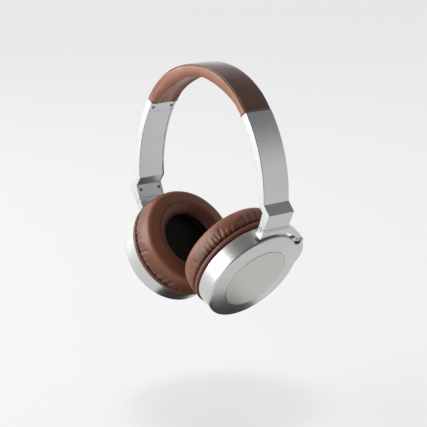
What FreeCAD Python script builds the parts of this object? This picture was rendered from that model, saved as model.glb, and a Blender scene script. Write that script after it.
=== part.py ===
import FreeCAD, Part
import os
from math import atan2, cos, degrees, pi, radians, sin, sqrt

# Over ear headphones, millimetres.
# Origin: underside of the headband at its apex, where a hanger or a head carries it.
# +X is the wearer's left, -Y is the front, +Z is up.  Every piece of one side is made
# for the left (+X) side and mirrored in the plane X = 0 for the right side.

# ---------------------------------------------------------------- headband
BAND_THICK = 7.8          # leather to leather, radial
BAND_WIDTH = 26.0         # front to back
BAND_RADIUS = 69.7        # outer face of the padded arc
BAND_HALF_ANGLE = 55.9    # apex to the arm joint, degrees
TOP_LEATHER = 1.2         # flat strip on the outer face
WRAP_LEATHER = 1.0        # padded wrap round the underside
FORMER_THICK = 2.9        # moulded strip that carries the spring
SPRING_THICK = 0.8
SPRING_WIDTH = 14.0
SPRING_DEPTH = 2.6        # outer face of the band to the middle of the spring
LEAD_RADIUS = 0.8         # crossover lead from cup to cup
LEAD_SPACE = 1.8          # spring's edge to the lead
ROLL_RADIUS = 3.0         # rounded edges of the padded underside
END_CAP = 1.2             # plate that closes each end of the leather
CAP_INSET = 0.4           # plate's edges inside the leather
TOP_INSET = 0.6           # flat strip's edge inside the padded wrap
TOP_EDGE = 0.5            # rounding of the flat strip's edge
FIT = 0.1                 # clearance round pieces that are put together and stay
OVERCUT = 1.0             # cutting shapes run this far past what they cut

# ---------------------------------------------------------------- arms
ARM_RADIUS = 110.6        # outer face of the arm, tangent to the band
ARM_END_ANGLE = 92.7      # degrees from the top of that arc to the flare
ARM_WIDTH = 26.0
ARM_THICK = 6.3
ARM_WALL = 1.6
SKIN_THICK = 1.0          # inner covers
SKIN_RECESS = 0.25        # covers lie this far under the edges of the shell
FLARE_LENGTH = 9.5        # flare outwards to the knee
FLARE_ANGLE = 38.5        # from the vertical
KNEE_LENGTH = 13.3        # knee to the swivel seam
KNEE_ANGLE = 27.0         # from the vertical, inwards
KNEE_BULGE = 1.2          # extra thickness inside the knee, for the bearing
KNEE_SHIFT = 2.5          # inner knee sits this far above the outer one
ARM_EDGE = 0.5            # rounding of the shell's long edges
GUIDE_ANGLE = 6.5         # length of the slider guide on the arm's arc, degrees
PLATE_ANGLE = 5.0         # length of the guide plate, degrees
RAIL_LENGTH = 27.0        # spring that stands out of the band into the arm
RAIL_TURN = 7.0           # rail against the end of the band, degrees
RAIL_ROOT = 0.3           # rail starts this far inside the curved spring
RAIL_RUN = 0.08           # running clearance of the rail in its guide
RAIL_ROOM = 0.3           # clearance of the rail in the shell
JOINT_GAP = 0.15          # arm to the end of the leather, arm closed
COVER_GAP = 0.15          # between the inner covers
COVER_STEP = 1.2          # shell left below the knee cover
SCREW_SHANK = 0.8
SCREW_HEAD = 1.3
SCREW_HEAD_THICK = 0.5
SCREW_SINK = 0.6          # depth of a screw's recess in its cover
SCREW_TIP = 0.4           # post left beyond a screw's tip
SCREW_Y = 9.3             # guide and knee screws, each side of the middle
DRIVE_REACH = 0.8         # half length of a screw's cross slot
DRIVE_HALF = 0.16         # half width of the slot
DRIVE_DEPTH = 0.25
POST_RADIUS = 2.0
GUIDE_SCREW_SHARE = 0.55  # guide screws' place along the guide plate
KNEE_SCREW_DROP = 4.2     # inner knee to its screws
KNEE_POST = 3.4           # length of the knee posts

# ---------------------------------------------------------------- swivel
PIN_RADIUS = 1.25
PIN_RUN = 0.05            # running clearance of every shaft, radial
PIN_HEAD = 1.9
PIN_HEAD_THICK = 1.0
PIN_HEAD_PLAY = 0.2       # head to the end wall of the arm
PIN_HEAD_ROOM = 0.25      # round the head, radial
PIN_IN_YOKE = 3.4
BUSH_WALL = 0.5
SWIVEL_DEPTH = 2.8        # swivel axis under the outer face of the arm
SEAM_GAP = 0.5            # between arm and yoke, filled by the washer
WASHER_PLAY = 0.1
WASHER_RIM = 1.1          # width of the washer round its pin
FLOOR_THICK = 5.0         # end wall of the arm that holds the bush
CROSS_PIN_RADIUS = 0.6
CROSS_PIN_DROP = 1.9      # top of the yoke to the cross pin
CROSS_PIN_INSET = 0.2     # pin's ends under the sides of the yoke

# ---------------------------------------------------------------- cups
CUP_TILT = 33.4           # at rest, bottoms tucked in, degrees
CUP_X = 52.0              # middle of the outer face
CUP_Z = -152.1
CUP_RADIUS = 41.0
CUP_DEPTH = 14.7          # face to the rear rim of the shell
CUP_WALL = 1.8
CUP_FLARE = 0.3           # rear rim wider than the face edge
CUP_EDGE = 2.0            # rounding of the face edge
FACE_RISE = 1.2           # face ring rises this much towards the disc
DISC_RADIUS = 27.6
DISC_THICK = 1.6
DISC_GAP = 0.25
DISC_PROUD = 0.35         # disc above the inner edge of the ring
DISC_EDGE = 0.3           # rounding of the disc's edge
YOKE_THICK = 6.0
YOKE_GAP = 1.5            # shell wall to the underside of the yoke's block
YOKE_WEB = 4.4            # height of the block above its underside
ARM_GAP = 3.0             # shell wall to the inside of the curved arm
ARM_BOW = 7.4             # shell wall to the outside of the curved arm
PIVOT_HEIGHT = 30.0       # tilt axis above the middle of the cup
PIVOT_DEPTH = 5.6         # tilt axis behind the face
PIVOT_OUT = 3.5           # shell wall to the arm's end, along the axis
PIVOT_REACH = 60.0        # longer than anything on the tilt axis
BLOCK_STEP = 0.8          # rear side of the block to the start of the arm's inner curve
BOW_PLACE = 31.0          # middle of the arm's curves, degrees from the top of the cup
AXLE_RADIUS = 1.1
AXLE_BUSH = 0.7           # wall of the axle's bush
AXLE_BUSH_FLANGE = 0.6
AXLE_END = 0.5            # ear left beyond the axle's end
CLAW_THICK = 3.2          # end of the curved arm, along the axis
CLAW_BOSS = 3.2           # radius of that end round the axis
BARREL_RADIUS = 2.7       # bearing barrel inside the shell
BARREL_LENGTH = 14.0
BARREL_ROOM = 0.5         # barrel to the curved arm above it
CHEEK_THICK = 2.8         # ear outside the arm's end
CHEEK_TOP = 1.8           # ear above the axis
CHEEK_SHOULDER = 4.0      # widest part of the ear's top, below the axis
CHEEK_SWELL = 1.4         # ear at that height, past its top
EAR_FOOT = 88.0           # ear's lower end, degrees from the top of the cup
EAR_BULGE = 3.2           # ear proud of the shell's wall
EAR_BULGE_HEIGHT = 15.0   # above the middle of the cup
EAR_WIDTH = 9.0           # along the cup's axis
EAR_EDGE = 0.8
EAR_SINK = 0.6            # ear's foot inside the shell's wall
EAR_ROOT_HEIGHT = 6.0
SIDE_PLAY = 0.4           # arm's end to the ear and the barrel, along the axis
RELIEF_ANGLE = 24.0       # half of the shallow relief under the yoke, degrees
RELIEF_DEPTH = 0.8
RELIEF_FRONT = 2.4        # relief stops this far behind the face

# ---------------------------------------------------------------- inside the cups
BAFFLE_RADIUS = 40.0
BAFFLE_THICK = 2.0
BAFFLE_STEP = 1.1         # dark gap between shell and pad
DRIVER_RADIUS = 20.0
DIAPHRAGM_RADIUS = 17.0
MAGNET_RADIUS = 11.0
MAGNET_THICK = 4.6
GRILLE_THICK = 0.8
CLOTH_THICK = 0.5
RING_THICK = 1.8
RING_FIT = 0.2            # grille's edge to the pad ring
BAFFLE_SCREW_CIRCLE = 35.5
BAFFLE_SCREWS = 4
BAFFLE_SCREW_LENGTH = 7.0
BAFFLE_HEAD_THICK = 0.8
BAFFLE_POST = 2.2
BAFFLE_POST_TOP = 0.5     # post's end to the shell's floor
BAFFLE_HOLE = 18.0        # opening of the baffle in front of the driver
COLLAR_WALL = 3.0         # collar that holds the driver
FRAME_RISE = 2.0          # driver frame beyond the collar
FRAME_WEB = 1.2           # web that carries the magnet
FRAME_LAND = 0.5          # diaphragm's edge on the frame
GRILLE_RIM = 2.0          # grille past the driver
GRILLE_HOLE = 1.3
GRILLE_RINGS = ((5.0, 6), (10.0, 12), (15.0, 18))   # radius and number of holes
DOME = ((0.2, 0), (0.2, 7), (1.4, 9), (0.4, 13), (0.4, 17.5),
        (0.8, 17.5), (0.8, 13.2), (1.8, 9.2), (0.6, 6.8), (0.6, 0))  # height, radius

# ---------------------------------------------------------------- ear pads
PAD_FLANGE_RADIUS = 42.4
PAD_FLANGE = 4.0          # skirt next to the shell
PAD_SEAM = 1.4            # depth of the groove at the skirt's stitching
PAD_SEAM_RISE = 1.2
PAD_SIDE = 7.0            # groove to the widest part
PAD_RADIUS = 42.6         # widest part of the cushion
PAD_CREST_RADIUS = 30.0
PAD_DEPTH = 23.4          # shell side of the skirt to the crest
PAD_HOLE_RADIUS = 21.5
PAD_LIP = 6.0             # crest to the edge of the opening
PAD_SLOPE = 1.4           # crown of the face that slopes into the opening
PAD_SEAT = 8.0            # width of the seat on the pad ring
PAD_MOUTH_FLARE = 2.5     # opening widens this much towards the cloth
PAD_SCREW_ROOM = 0.3
PAD_SCREW_DEPTH = 1.2

# ---------------------------------------------------------------- socket, left cup
SOCKET_BORE = 1.8         # for a 3.5 mm plug
SOCKET_BORE_DEPTH = 10.0
SOCKET_RADIUS = 3.3
SOCKET_LENGTH = 12.0
SOCKET_SINK = 0.3         # mouth under the shell's wall

V = FreeCAD.Vector
X_AXIS = V(1, 0, 0)
Y_AXIS = V(0, 1, 0)
Z_AXIS = V(0, 0, 1)
TINY = 1e-6
HALF_BAND = BAND_WIDTH / 2
HALF_ARM = ARM_WIDTH / 2
HALF_INSIDE = HALF_ARM - ARM_WALL
A1 = radians(BAND_HALF_ANGLE)
A2 = radians(ARM_END_ANGLE)
BAND_CENTRE = V(0, 0, BAND_THICK - BAND_RADIUS)
ARM_CENTRE = BAND_CENTRE + (BAND_RADIUS - ARM_RADIUS) * V(sin(A1), 0, cos(A1))

solids = {}


# ---------------------------------------------------------------- helpers
def polar(centre, radius, angle):
    """Point on a circle in the XZ plane, angle in radians from straight up towards +X."""
    return centre + radius * V(sin(angle), 0, cos(angle))


def heading(angle):
    """Unit vector pointing down, turned outwards (+X) by an angle in degrees."""
    return V(sin(radians(angle)), 0, -cos(radians(angle)))


def inward(direction):
    """Unit vector at right angles to a downward direction, towards the head."""
    return V(direction.z, 0, -direction.x)


def arc(centre, radius, start, end):
    """Arc edge in the XZ plane between two angles in radians."""
    points = [polar(centre, radius, angle) for angle in (start, (start + end) / 2, end)]
    return Part.Arc(*points).toShape()


def lines(*points):
    """Straight edges through the points."""
    return [Part.makeLine(a, b) for a, b in zip(points, points[1:])]


def plate(edges, half_width):
    """Closed outline in the XZ plane, extruded to both sides of Y = 0."""
    face = Part.Face(Part.Wire(edges))
    face.translate(V(0, -half_width, 0))
    return face.extrude(V(0, 2 * half_width, 0))


def polygon_plate(points, half_width):
    """Straight-sided outline in the XZ plane, extruded to both sides of Y = 0."""
    return plate(lines(*points, points[0]), half_width)


def sector(centre, inner, outer, start, end, half_width):
    """Piece of a ring between two radii and two angles (radians)."""
    edges = [arc(centre, outer, start, end)]
    edges += lines(polar(centre, outer, end), polar(centre, inner, end))
    edges += [arc(centre, inner, end, start)]
    edges += lines(polar(centre, inner, start), polar(centre, outer, start))
    return plate(edges, half_width)


def rod(start, direction, radius, length):
    """Cylinder from a point along a direction."""
    return Part.makeCylinder(radius, length, start, direction)


def fuse(*shapes):
    """Union as one clean solid."""
    joined = shapes[0].multiFuse(list(shapes[1:])).removeSplitter()
    return joined.Solids[0] if len(joined.Solids) == 1 else joined


def cut(base, *tools):
    """Base less every tool, as one clean solid where it is one."""
    left = base.cut(list(tools)).removeSplitter()
    return left.Solids[0] if len(left.Solids) == 1 else left


def group(shapes):
    """Separate solids kept in one node."""
    return Part.makeCompound([solid for shape in shapes for solid in shape.Solids])


# ---------------------------------------------------------------- headband
def band_section(inner, outer, half_width, corner, end_angle):
    """Ring piece of the band whose two inner edges are rounded."""
    body = sector(BAND_CENTRE, inner, outer, -end_angle, end_angle, half_width)
    return body.makeFillet(corner, [e for e in body.Edges if is_arc_of(e, inner)])


def is_arc_of(edge, radius):
    """True where an edge is an arc of the given radius about the band's axis."""
    curve = edge.Curve
    return isinstance(curve, Part.Circle) and abs(curve.Radius - radius) < TINY


def make_headband():
    """Spring, former, foam, two leathers, end caps and the crossover lead."""
    outer = BAND_RADIUS
    top_under = outer - TOP_LEATHER
    former_under = top_under - FORMER_THICK
    inner = outer - BAND_THICK
    end = A1 - END_CAP / outer
    inside = HALF_BAND - WRAP_LEATHER
    spring_mid = outer - SPRING_DEPTH
    lead_y = SPRING_WIDTH / 2 + LEAD_SPACE + LEAD_RADIUS
    lead_mid = (top_under + former_under) / 2

    top = sector(BAND_CENTRE, top_under, outer, -end, end, HALF_BAND - TOP_INSET)
    rim = [e for e in top.Edges if is_arc_of(e, outer)]
    solids["headband_top_leather"] = top.makeFillet(TOP_EDGE, rim)

    wrap = band_section(inner, top_under, HALF_BAND, ROLL_RADIUS, end)
    core = band_section(inner + WRAP_LEATHER, top_under, inside, ROLL_RADIUS - WRAP_LEATHER, end)
    solids["headband_wrap_leather"] = cut(wrap, core)

    below = sector(BAND_CENTRE, inner, former_under, -A1, A1, HALF_BAND)
    solids["headband_foam"] = core.common(below).Solids[0]

    former = sector(BAND_CENTRE, former_under, top_under, -end, end, inside)
    spring_slot = sector(BAND_CENTRE, spring_mid - SPRING_THICK / 2 - FIT,
                         spring_mid + SPRING_THICK / 2 + FIT, -A1, A1,
                         SPRING_WIDTH / 2 + FIT)
    groove = lead_arc(lead_mid, lead_y, LEAD_RADIUS + FIT, A1)
    solids["headband_former"] = cut(former, spring_slot, groove)
    solids["crossover_lead"] = lead_arc(lead_mid, lead_y, LEAD_RADIUS, end)

    spring = sector(BAND_CENTRE, spring_mid - SPRING_THICK / 2,
                    spring_mid + SPRING_THICK / 2, -A1, A1, SPRING_WIDTH / 2)
    solids["headband_spring"] = fuse(spring, rail(0), mirrored(rail(0)))

    cap = sector(BAND_CENTRE, inner + CAP_INSET, outer - CAP_INSET, end, A1,
                 HALF_BAND - CAP_INSET)
    cap = cut(cap, spring_slot, rail(FIT))
    solids["headband_end_caps"] = group([cap, mirrored(cap)])


def lead_arc(radius, y, thickness, end_angle):
    """Round lead that follows the band."""
    start = polar(BAND_CENTRE, radius, -end_angle) + V(0, y, 0)
    tangent = V(cos(end_angle), 0, sin(end_angle))
    circle = Part.Wire(Part.Circle(start, tangent, thickness).toShape())
    axis_point = BAND_CENTRE + V(0, y, 0)
    return Part.Face(circle).revolve(axis_point, Y_AXIS, degrees(2 * end_angle))


# ---------------------------------------------------------------- arm geometry
RAIL_START = polar(BAND_CENTRE, BAND_RADIUS - SPRING_DEPTH, A1)
SLIDE_AXIS = heading(90 - BAND_HALF_ANGLE - RAIL_TURN)


def rail(slack):
    """Straight end of the spring that the left arm slides on."""
    across = inward(SLIDE_AXIS) * (SPRING_THICK / 2 + slack)
    start = RAIL_START - SLIDE_AXIS * RAIL_ROOT
    end = RAIL_START + SLIDE_AXIS * (RAIL_LENGTH + slack)
    corners = [start + across, end + across, end - across, start - across]
    return polygon_plate(corners, SPRING_WIDTH / 2 + slack)


FLARE_DIR = heading(FLARE_ANGLE)
KNEE_DIR = heading(-KNEE_ANGLE)
ARM_TIP_DIR = heading(90 - ARM_END_ANGLE)
FLARE = polar(ARM_CENTRE, ARM_RADIUS, A2)
KNEE = FLARE + FLARE_DIR * FLARE_LENGTH
SEAM = KNEE + KNEE_DIR * KNEE_LENGTH
SEAM_IN = SEAM + inward(KNEE_DIR) * ARM_THICK
ARM_TOP = A1 + JOINT_GAP / ARM_RADIUS


def miter(corner, before, after, distance):
    """Corner of a line that runs a distance inwards of a bent line."""
    a = inward(before)
    b = inward(after)
    return corner + (a + b) * (distance / (1 + a.dot(b)))


KNEE_IN = miter(KNEE, FLARE_DIR, KNEE_DIR, ARM_THICK + KNEE_BULGE) - KNEE_DIR * KNEE_SHIFT
FLARE_IN = polar(ARM_CENTRE, ARM_RADIUS - ARM_THICK, A2)
KNEE_IN_DIR = (SEAM_IN - KNEE_IN).normalize()
FLARE_IN_DIR = (KNEE_IN - FLARE_IN).normalize()


def on_arc(reach, corner):
    """Angle (radians) of a corner about the middle of the arm's arc, and its place on an arc."""
    angle = atan2(corner.x - ARM_CENTRE.x, corner.z - ARM_CENTRE.z)
    return angle, polar(ARM_CENTRE, reach, angle)


def outer_chain(depth):
    """Edges from the top of the arm to the seam, a depth under the outer face."""
    knee = miter(KNEE, FLARE_DIR, KNEE_DIR, depth)
    seam = SEAM + inward(KNEE_DIR) * depth
    reach = ARM_RADIUS - depth
    end, flare = on_arc(reach, miter(FLARE, ARM_TIP_DIR, FLARE_DIR, depth))
    return [arc(ARM_CENTRE, reach, ARM_TOP, end)] + lines(flare, knee, seam)


def inner_chain(height):
    """Edges from the seam back to the top of the arm, a height above the inner face."""
    knee = miter(KNEE_IN, FLARE_IN_DIR, KNEE_IN_DIR, -height)
    seam = SEAM_IN - inward(KNEE_IN_DIR) * height
    reach = ARM_RADIUS - ARM_THICK + height
    end, flare = on_arc(reach, miter(FLARE_IN, ARM_TIP_DIR, FLARE_IN_DIR, -height))
    return lines(seam, knee, flare) + [arc(ARM_CENTRE, reach, end, ARM_TOP)]


def between(depth, height, half_width):
    """Solid between a line under the outer face and a line above the inner face."""
    outer = outer_chain(depth)
    inner = inner_chain(height)
    seam_edge = lines(SEAM + inward(KNEE_DIR) * depth, SEAM_IN - inward(KNEE_IN_DIR) * height)
    top_edge = lines(polar(ARM_CENTRE, ARM_RADIUS - ARM_THICK + height, ARM_TOP),
                     polar(ARM_CENTRE, ARM_RADIUS - depth, ARM_TOP))
    return plate(outer + seam_edge + inner + top_edge, half_width)


def inner_skin(low, high, half_width):
    """Layer between two heights above the inner face of the arm."""
    return cut(between(0, low, half_width), between(-OVERCUT, high, half_width + OVERCUT))


def half_space(point, direction, size=200.0):
    """Large block on the side of a plane that a direction in XZ points to."""
    side = inward(direction)
    corners = [point - side * size, point + side * size,
               point + side * size + direction * size, point - side * size + direction * size]
    return polygon_plate(corners, size)


def arm_direction(angle):
    """Downward direction of the arm at an angle (radians) on its arc."""
    return V(cos(angle), 0, -sin(angle))


def make_arm():
    """Shell, three inner covers, screws, slider guide and swivel bush of the left arm."""
    plate_end = ARM_TOP + radians(PLATE_ANGLE)
    guide_end = ARM_TOP + radians(GUIDE_ANGLE)
    floor_top = SEAM - KNEE_DIR * FLOOR_THICK
    skin_top = SKIN_RECESS + SKIN_THICK
    bush_radius = PIN_RADIUS + PIN_RUN + BUSH_WALL

    whole = between(0, 0, HALF_ARM)
    long_edges = [e for e in whole.Edges if abs(abs(e.CenterOfMass.y) - HALF_ARM) < TINY
                  and abs(e.Length - ARM_THICK) > ARM_EDGE]
    whole = whole.makeFillet(ARM_EDGE, long_edges)
    cavity = cut(between(ARM_WALL, -OVERCUT, HALF_INSIDE), half_space(floor_top, KNEE_DIR))
    seat = cut(inner_skin(-OVERCUT, skin_top, HALF_INSIDE),
               half_space(SEAM_IN - KNEE_DIR * COVER_STEP, KNEE_DIR))
    posts = [rod(foot, axis, POST_RADIUS, length) for foot, axis, length in screw_posts()]
    shell = fuse(cut(whole, cavity), *[cut(post.common(whole), seat) for post in posts])
    bores = [rod(foot, axis, SCREW_SHANK, length) for foot, axis, length in screw_posts()]
    bush_bore = rod(seam_middle() + KNEE_DIR, -KNEE_DIR, bush_radius, FLOOR_THICK + 1 + OVERCUT)
    head_room = rod(seam_middle() - KNEE_DIR * FLOOR_THICK, -KNEE_DIR,
                    PIN_HEAD + PIN_HEAD_ROOM, PIN_HEAD_THICK + OVERCUT)
    solids["arm_shell_left"] = cut(shell, seat, rail(RAIL_ROOM), *bores, bush_bore, head_room)

    skin = inner_skin(SKIN_RECESS, skin_top, HALF_INSIDE - FIT)
    below_plate = half_space(polar(ARM_CENTRE, ARM_RADIUS, plate_end), arm_direction(plate_end))
    cover_start = plate_end + COVER_GAP / ARM_RADIUS
    below_gap = half_space(polar(ARM_CENTRE, ARM_RADIUS, cover_start), arm_direction(plate_end))
    below_knee = half_space(KNEE_IN, KNEE_DIR)
    below_knee_gap = half_space(KNEE_IN + KNEE_DIR * COVER_GAP, KNEE_DIR)
    below_step = half_space(SEAM_IN - KNEE_DIR * (COVER_STEP + COVER_GAP), KNEE_DIR)
    holes = screw_holes()
    solids["guide_plate_left"] = cut(skin, below_plate, *holes)
    solids["arm_cover_left"] = cut(skin.common(below_gap), below_knee)
    solids["knee_cover_left"] = cut(skin.common(below_knee_gap), below_step, bush_bore, *holes)

    guide = sector(ARM_CENTRE, ARM_RADIUS - ARM_THICK + skin_top,
                   ARM_RADIUS - ARM_WALL, ARM_TOP, guide_end, HALF_INSIDE)
    solids["slider_guide_left"] = cut(guide, rail(RAIL_RUN), *posts)

    screws = [screw(foot, axis, length) for foot, axis, length in screw_posts()]
    solids["guide_screws_left"] = group(screws[:2])
    solids["knee_screws_left"] = group(screws[2:])

    bush = rod(seam_middle(), -KNEE_DIR, bush_radius, FLOOR_THICK)
    bore = rod(seam_middle(), -KNEE_DIR, PIN_RADIUS + PIN_RUN, FLOOR_THICK)
    solids["swivel_bush_left"] = cut(bush, bore)


def screw_posts():
    """Foot on the inside of the outer wall, direction inwards and length, for each screw."""
    angle = A1 + radians(PLATE_ANGLE * GUIDE_SCREW_SHARE)
    guide_axis = -V(sin(angle), 0, cos(angle))
    guide_foot = polar(ARM_CENTRE, ARM_RADIUS - ARM_WALL, angle)
    guide_length = ARM_THICK - ARM_WALL - SKIN_RECESS - SKIN_THICK
    knee_axis = inward(KNEE_IN_DIR)
    knee_top = KNEE_IN + KNEE_IN_DIR * KNEE_SCREW_DROP - knee_axis * (SKIN_RECESS + SKIN_THICK)
    knee_foot = knee_top - knee_axis * KNEE_POST
    posts = []
    for foot, axis, length in ((guide_foot, guide_axis, guide_length),
                               (knee_foot, knee_axis, KNEE_POST)):
        for y in (-SCREW_Y, SCREW_Y):
            posts.append((foot + V(0, y, 0), axis, length))
    return posts


def screw_holes():
    """Clearance hole and head recess of every screw in the inner covers."""
    holes = []
    for foot, axis, length in screw_posts():
        top = foot + axis * length
        holes.append(rod(top, axis, SCREW_SHANK + FIT, SKIN_THICK + OVERCUT))
        holes.append(rod(top + axis * (SKIN_THICK - SCREW_SINK), axis, SCREW_HEAD + FIT,
                         SCREW_SINK + OVERCUT))
    return holes


def screw(foot, axis, length):
    """Pan head screw that ends in the post and clamps the cover."""
    top = foot + axis * length
    web = SKIN_THICK - SCREW_SINK
    shank = rod(foot + axis * SCREW_TIP, axis, SCREW_SHANK, length - SCREW_TIP + web)
    head_foot = top + axis * web
    head = rod(head_foot, axis, SCREW_HEAD, SCREW_HEAD_THICK)
    side = axis.cross(Y_AXIS)
    slots = []
    for along, across in ((side, Y_AXIS), (Y_AXIS, side)):
        corner = head_foot + axis * (SCREW_HEAD_THICK - DRIVE_DEPTH)
        points = [corner + along * (DRIVE_REACH * a) + across * (DRIVE_HALF * b)
                  for a, b in ((1, 1), (-1, 1), (-1, -1), (1, -1))]
        face = Part.Face(Part.Wire(lines(*points, points[0])))
        slots.append(face.extrude(axis * OVERCUT))
    return cut(fuse(shank, head), *slots)


def seam_middle():
    """Where the swivel axis leaves the end face of the arm."""
    return SEAM + inward(KNEE_DIR) * SWIVEL_DEPTH


# ---------------------------------------------------------------- cup frame
def to_cup(shape):
    """Place a shape made in the cup's own axes (X out of the face, Z up) on the left side."""
    placed = shape.copy()
    placed.rotate(V(0, 0, 0), Y_AXIS, CUP_TILT)
    placed.translate(V(CUP_X, 0, CUP_Z))
    return placed


def cup_point(point):
    """The same for a point."""
    turn = FreeCAD.Rotation(Y_AXIS, CUP_TILT)
    return turn.multVec(point) + V(CUP_X, 0, CUP_Z)


def turned(profile):
    """Solid turned about the cup's axis from straight lines between (x, radius) points."""
    points = [V(x, 0, radius) for x, radius in profile]
    face = Part.Face(Part.Wire(lines(*points, points[0])))
    return face.revolve(V(0, 0, 0), X_AXIS, 360)


def disc(rear, front, radius, hole=0.0):
    """Flat disc or ring about the cup's axis."""
    body = rod(X_AXIS * rear, X_AXIS, radius, front - rear)
    if hole:
        body = cut(body, rod(X_AXIS * (rear - OVERCUT), X_AXIS, hole, front - rear + 2 * OVERCUT))
    return body


# ---------------------------------------------------------------- yoke
PIVOT = V(-PIVOT_DEPTH, 0, PIVOT_HEIGHT)
CLAW_IN = sqrt(CUP_RADIUS ** 2 - PIVOT_HEIGHT ** 2) + PIVOT_OUT
CLAW_OUT = CLAW_IN + CLAW_THICK
CHEEK_IN = CLAW_OUT + SIDE_PLAY
CHEEK_OUT = CHEEK_IN + CHEEK_THICK
BARREL_END = CLAW_IN - SIDE_PLAY
BUSH_RADIUS = AXLE_RADIUS + PIN_RUN + AXLE_BUSH


def on_circle(radius, y):
    """Point of a circle about the cup's axis, in the YZ plane, above a given Y."""
    return V(0, y, sqrt(radius ** 2 - y ** 2))


def yoke_outline():
    """Closed edges of the yoke seen along the cup's axis: block, curved rear arm and its end."""
    under = CUP_RADIUS + YOKE_GAP
    inside = CUP_RADIUS + ARM_GAP
    outside = CUP_RADIUS + ARM_BOW
    top = under + YOKE_WEB
    front_top = V(0, -HALF_ARM, top)
    rear_top = V(0, HALF_ARM, top)
    outer_end = V(0, CLAW_OUT, PIVOT_HEIGHT + CLAW_BOSS)
    foot_out = V(0, CLAW_OUT, PIVOT_HEIGHT - CLAW_BOSS)
    foot_in = V(0, CLAW_IN, PIVOT_HEIGHT - CLAW_BOSS)
    over_barrel = PIVOT_HEIGHT + BARREL_RADIUS + BARREL_ROOM
    corner = V(0, CLAW_IN, over_barrel)
    knuckle = V(0, sqrt(inside ** 2 - over_barrel ** 2), over_barrel)
    inner_start = on_circle(inside, HALF_ARM + BLOCK_STEP)
    block_rear = on_circle(under, HALF_ARM)
    block_front = on_circle(under, -HALF_ARM)
    middle = V(0, sin(radians(BOW_PLACE)), cos(radians(BOW_PLACE)))
    edges = lines(front_top, rear_top)
    edges.append(Part.Arc(rear_top, middle * outside, outer_end).toShape())
    edges += lines(outer_end, foot_out, foot_in, corner, knuckle)
    edges.append(Part.Arc(knuckle, middle * inside, inner_start).toShape())
    edges += lines(inner_start, block_rear)
    edges.append(Part.Arc(block_rear, V(0, 0, under), block_front).toShape())
    return edges + lines(block_front, front_top)


def make_yoke():
    """Yoke, swivel pin, washer, cross pin and the axle of the left side."""
    rear = -PIVOT_DEPTH - YOKE_THICK / 2
    face = Part.Face(Part.Wire(yoke_outline()))
    face.translate(V(rear, 0, 0))
    bow = face.extrude(V(YOKE_THICK, 0, 0))
    rounder = rod(PIVOT, Y_AXIS, CLAW_BOSS, PIVOT_REACH)
    below = Part.makeBox(YOKE_THICK + 2 * OVERCUT, PIVOT_REACH, CLAW_BOSS + OVERCUT,
                         V(rear - OVERCUT, 0, PIVOT_HEIGHT - CLAW_BOSS - OVERCUT))
    bow = to_cup(cut(bow, cut(below, rounder)))

    start = seam_middle() + KNEE_DIR * SEAM_GAP
    outer_top = SEAM + KNEE_DIR * SEAM_GAP
    inner_top = SEAM_IN + KNEE_DIR * SEAM_GAP
    root = CUP_RADIUS + YOKE_GAP + YOKE_WEB / 2
    front_foot = cup_point(V(rear + YOKE_THICK, 0, root))
    rear_foot = cup_point(V(rear, 0, root))
    block = polygon_plate([outer_top, front_foot, rear_foot, inner_top], HALF_ARM)
    above = half_space(outer_top, -KNEE_DIR)
    cross = seam_middle() + KNEE_DIR * (SEAM_GAP + CROSS_PIN_DROP)
    pin_bore = rod(start, KNEE_DIR, PIN_RADIUS, PIN_IN_YOKE)
    cross_bore = rod(cross - Y_AXIS * HALF_ARM, Y_AXIS, CROSS_PIN_RADIUS, ARM_WIDTH)
    axle_bore = to_cup(rod(PIVOT, Y_AXIS, AXLE_RADIUS, PIVOT_REACH))
    solids["yoke_left"] = cut(fuse(bow, block), above, pin_bore, cross_bore, axle_bore)

    shaft = rod(start + KNEE_DIR * PIN_IN_YOKE, -KNEE_DIR, PIN_RADIUS,
                PIN_IN_YOKE + SEAM_GAP + FLOOR_THICK + PIN_HEAD_PLAY + PIN_HEAD_THICK)
    cap = rod(seam_middle() - KNEE_DIR * (FLOOR_THICK + PIN_HEAD_PLAY), -KNEE_DIR, PIN_HEAD,
              PIN_HEAD_THICK)
    solids["swivel_pin_left"] = cut(fuse(shaft, cap), cross_bore)
    solids["cross_pin_left"] = rod(cross - Y_AXIS * (HALF_ARM - CROSS_PIN_INSET), Y_AXIS,
                                   CROSS_PIN_RADIUS, ARM_WIDTH - 2 * CROSS_PIN_INSET)
    washer = rod(seam_middle() + KNEE_DIR * WASHER_PLAY, KNEE_DIR, PIN_RADIUS + WASHER_RIM,
                 SEAM_GAP - WASHER_PLAY)
    solids["swivel_washer_left"] = cut(washer, rod(seam_middle(), KNEE_DIR, PIN_RADIUS,
                                                   SEAM_GAP + OVERCUT))
    axle_start = BARREL_END - BARREL_LENGTH
    solids["tilt_axle_left"] = to_cup(rod(PIVOT + V(0, axle_start, 0), Y_AXIS, AXLE_RADIUS,
                                          CHEEK_OUT - AXLE_END - axle_start))


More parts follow.
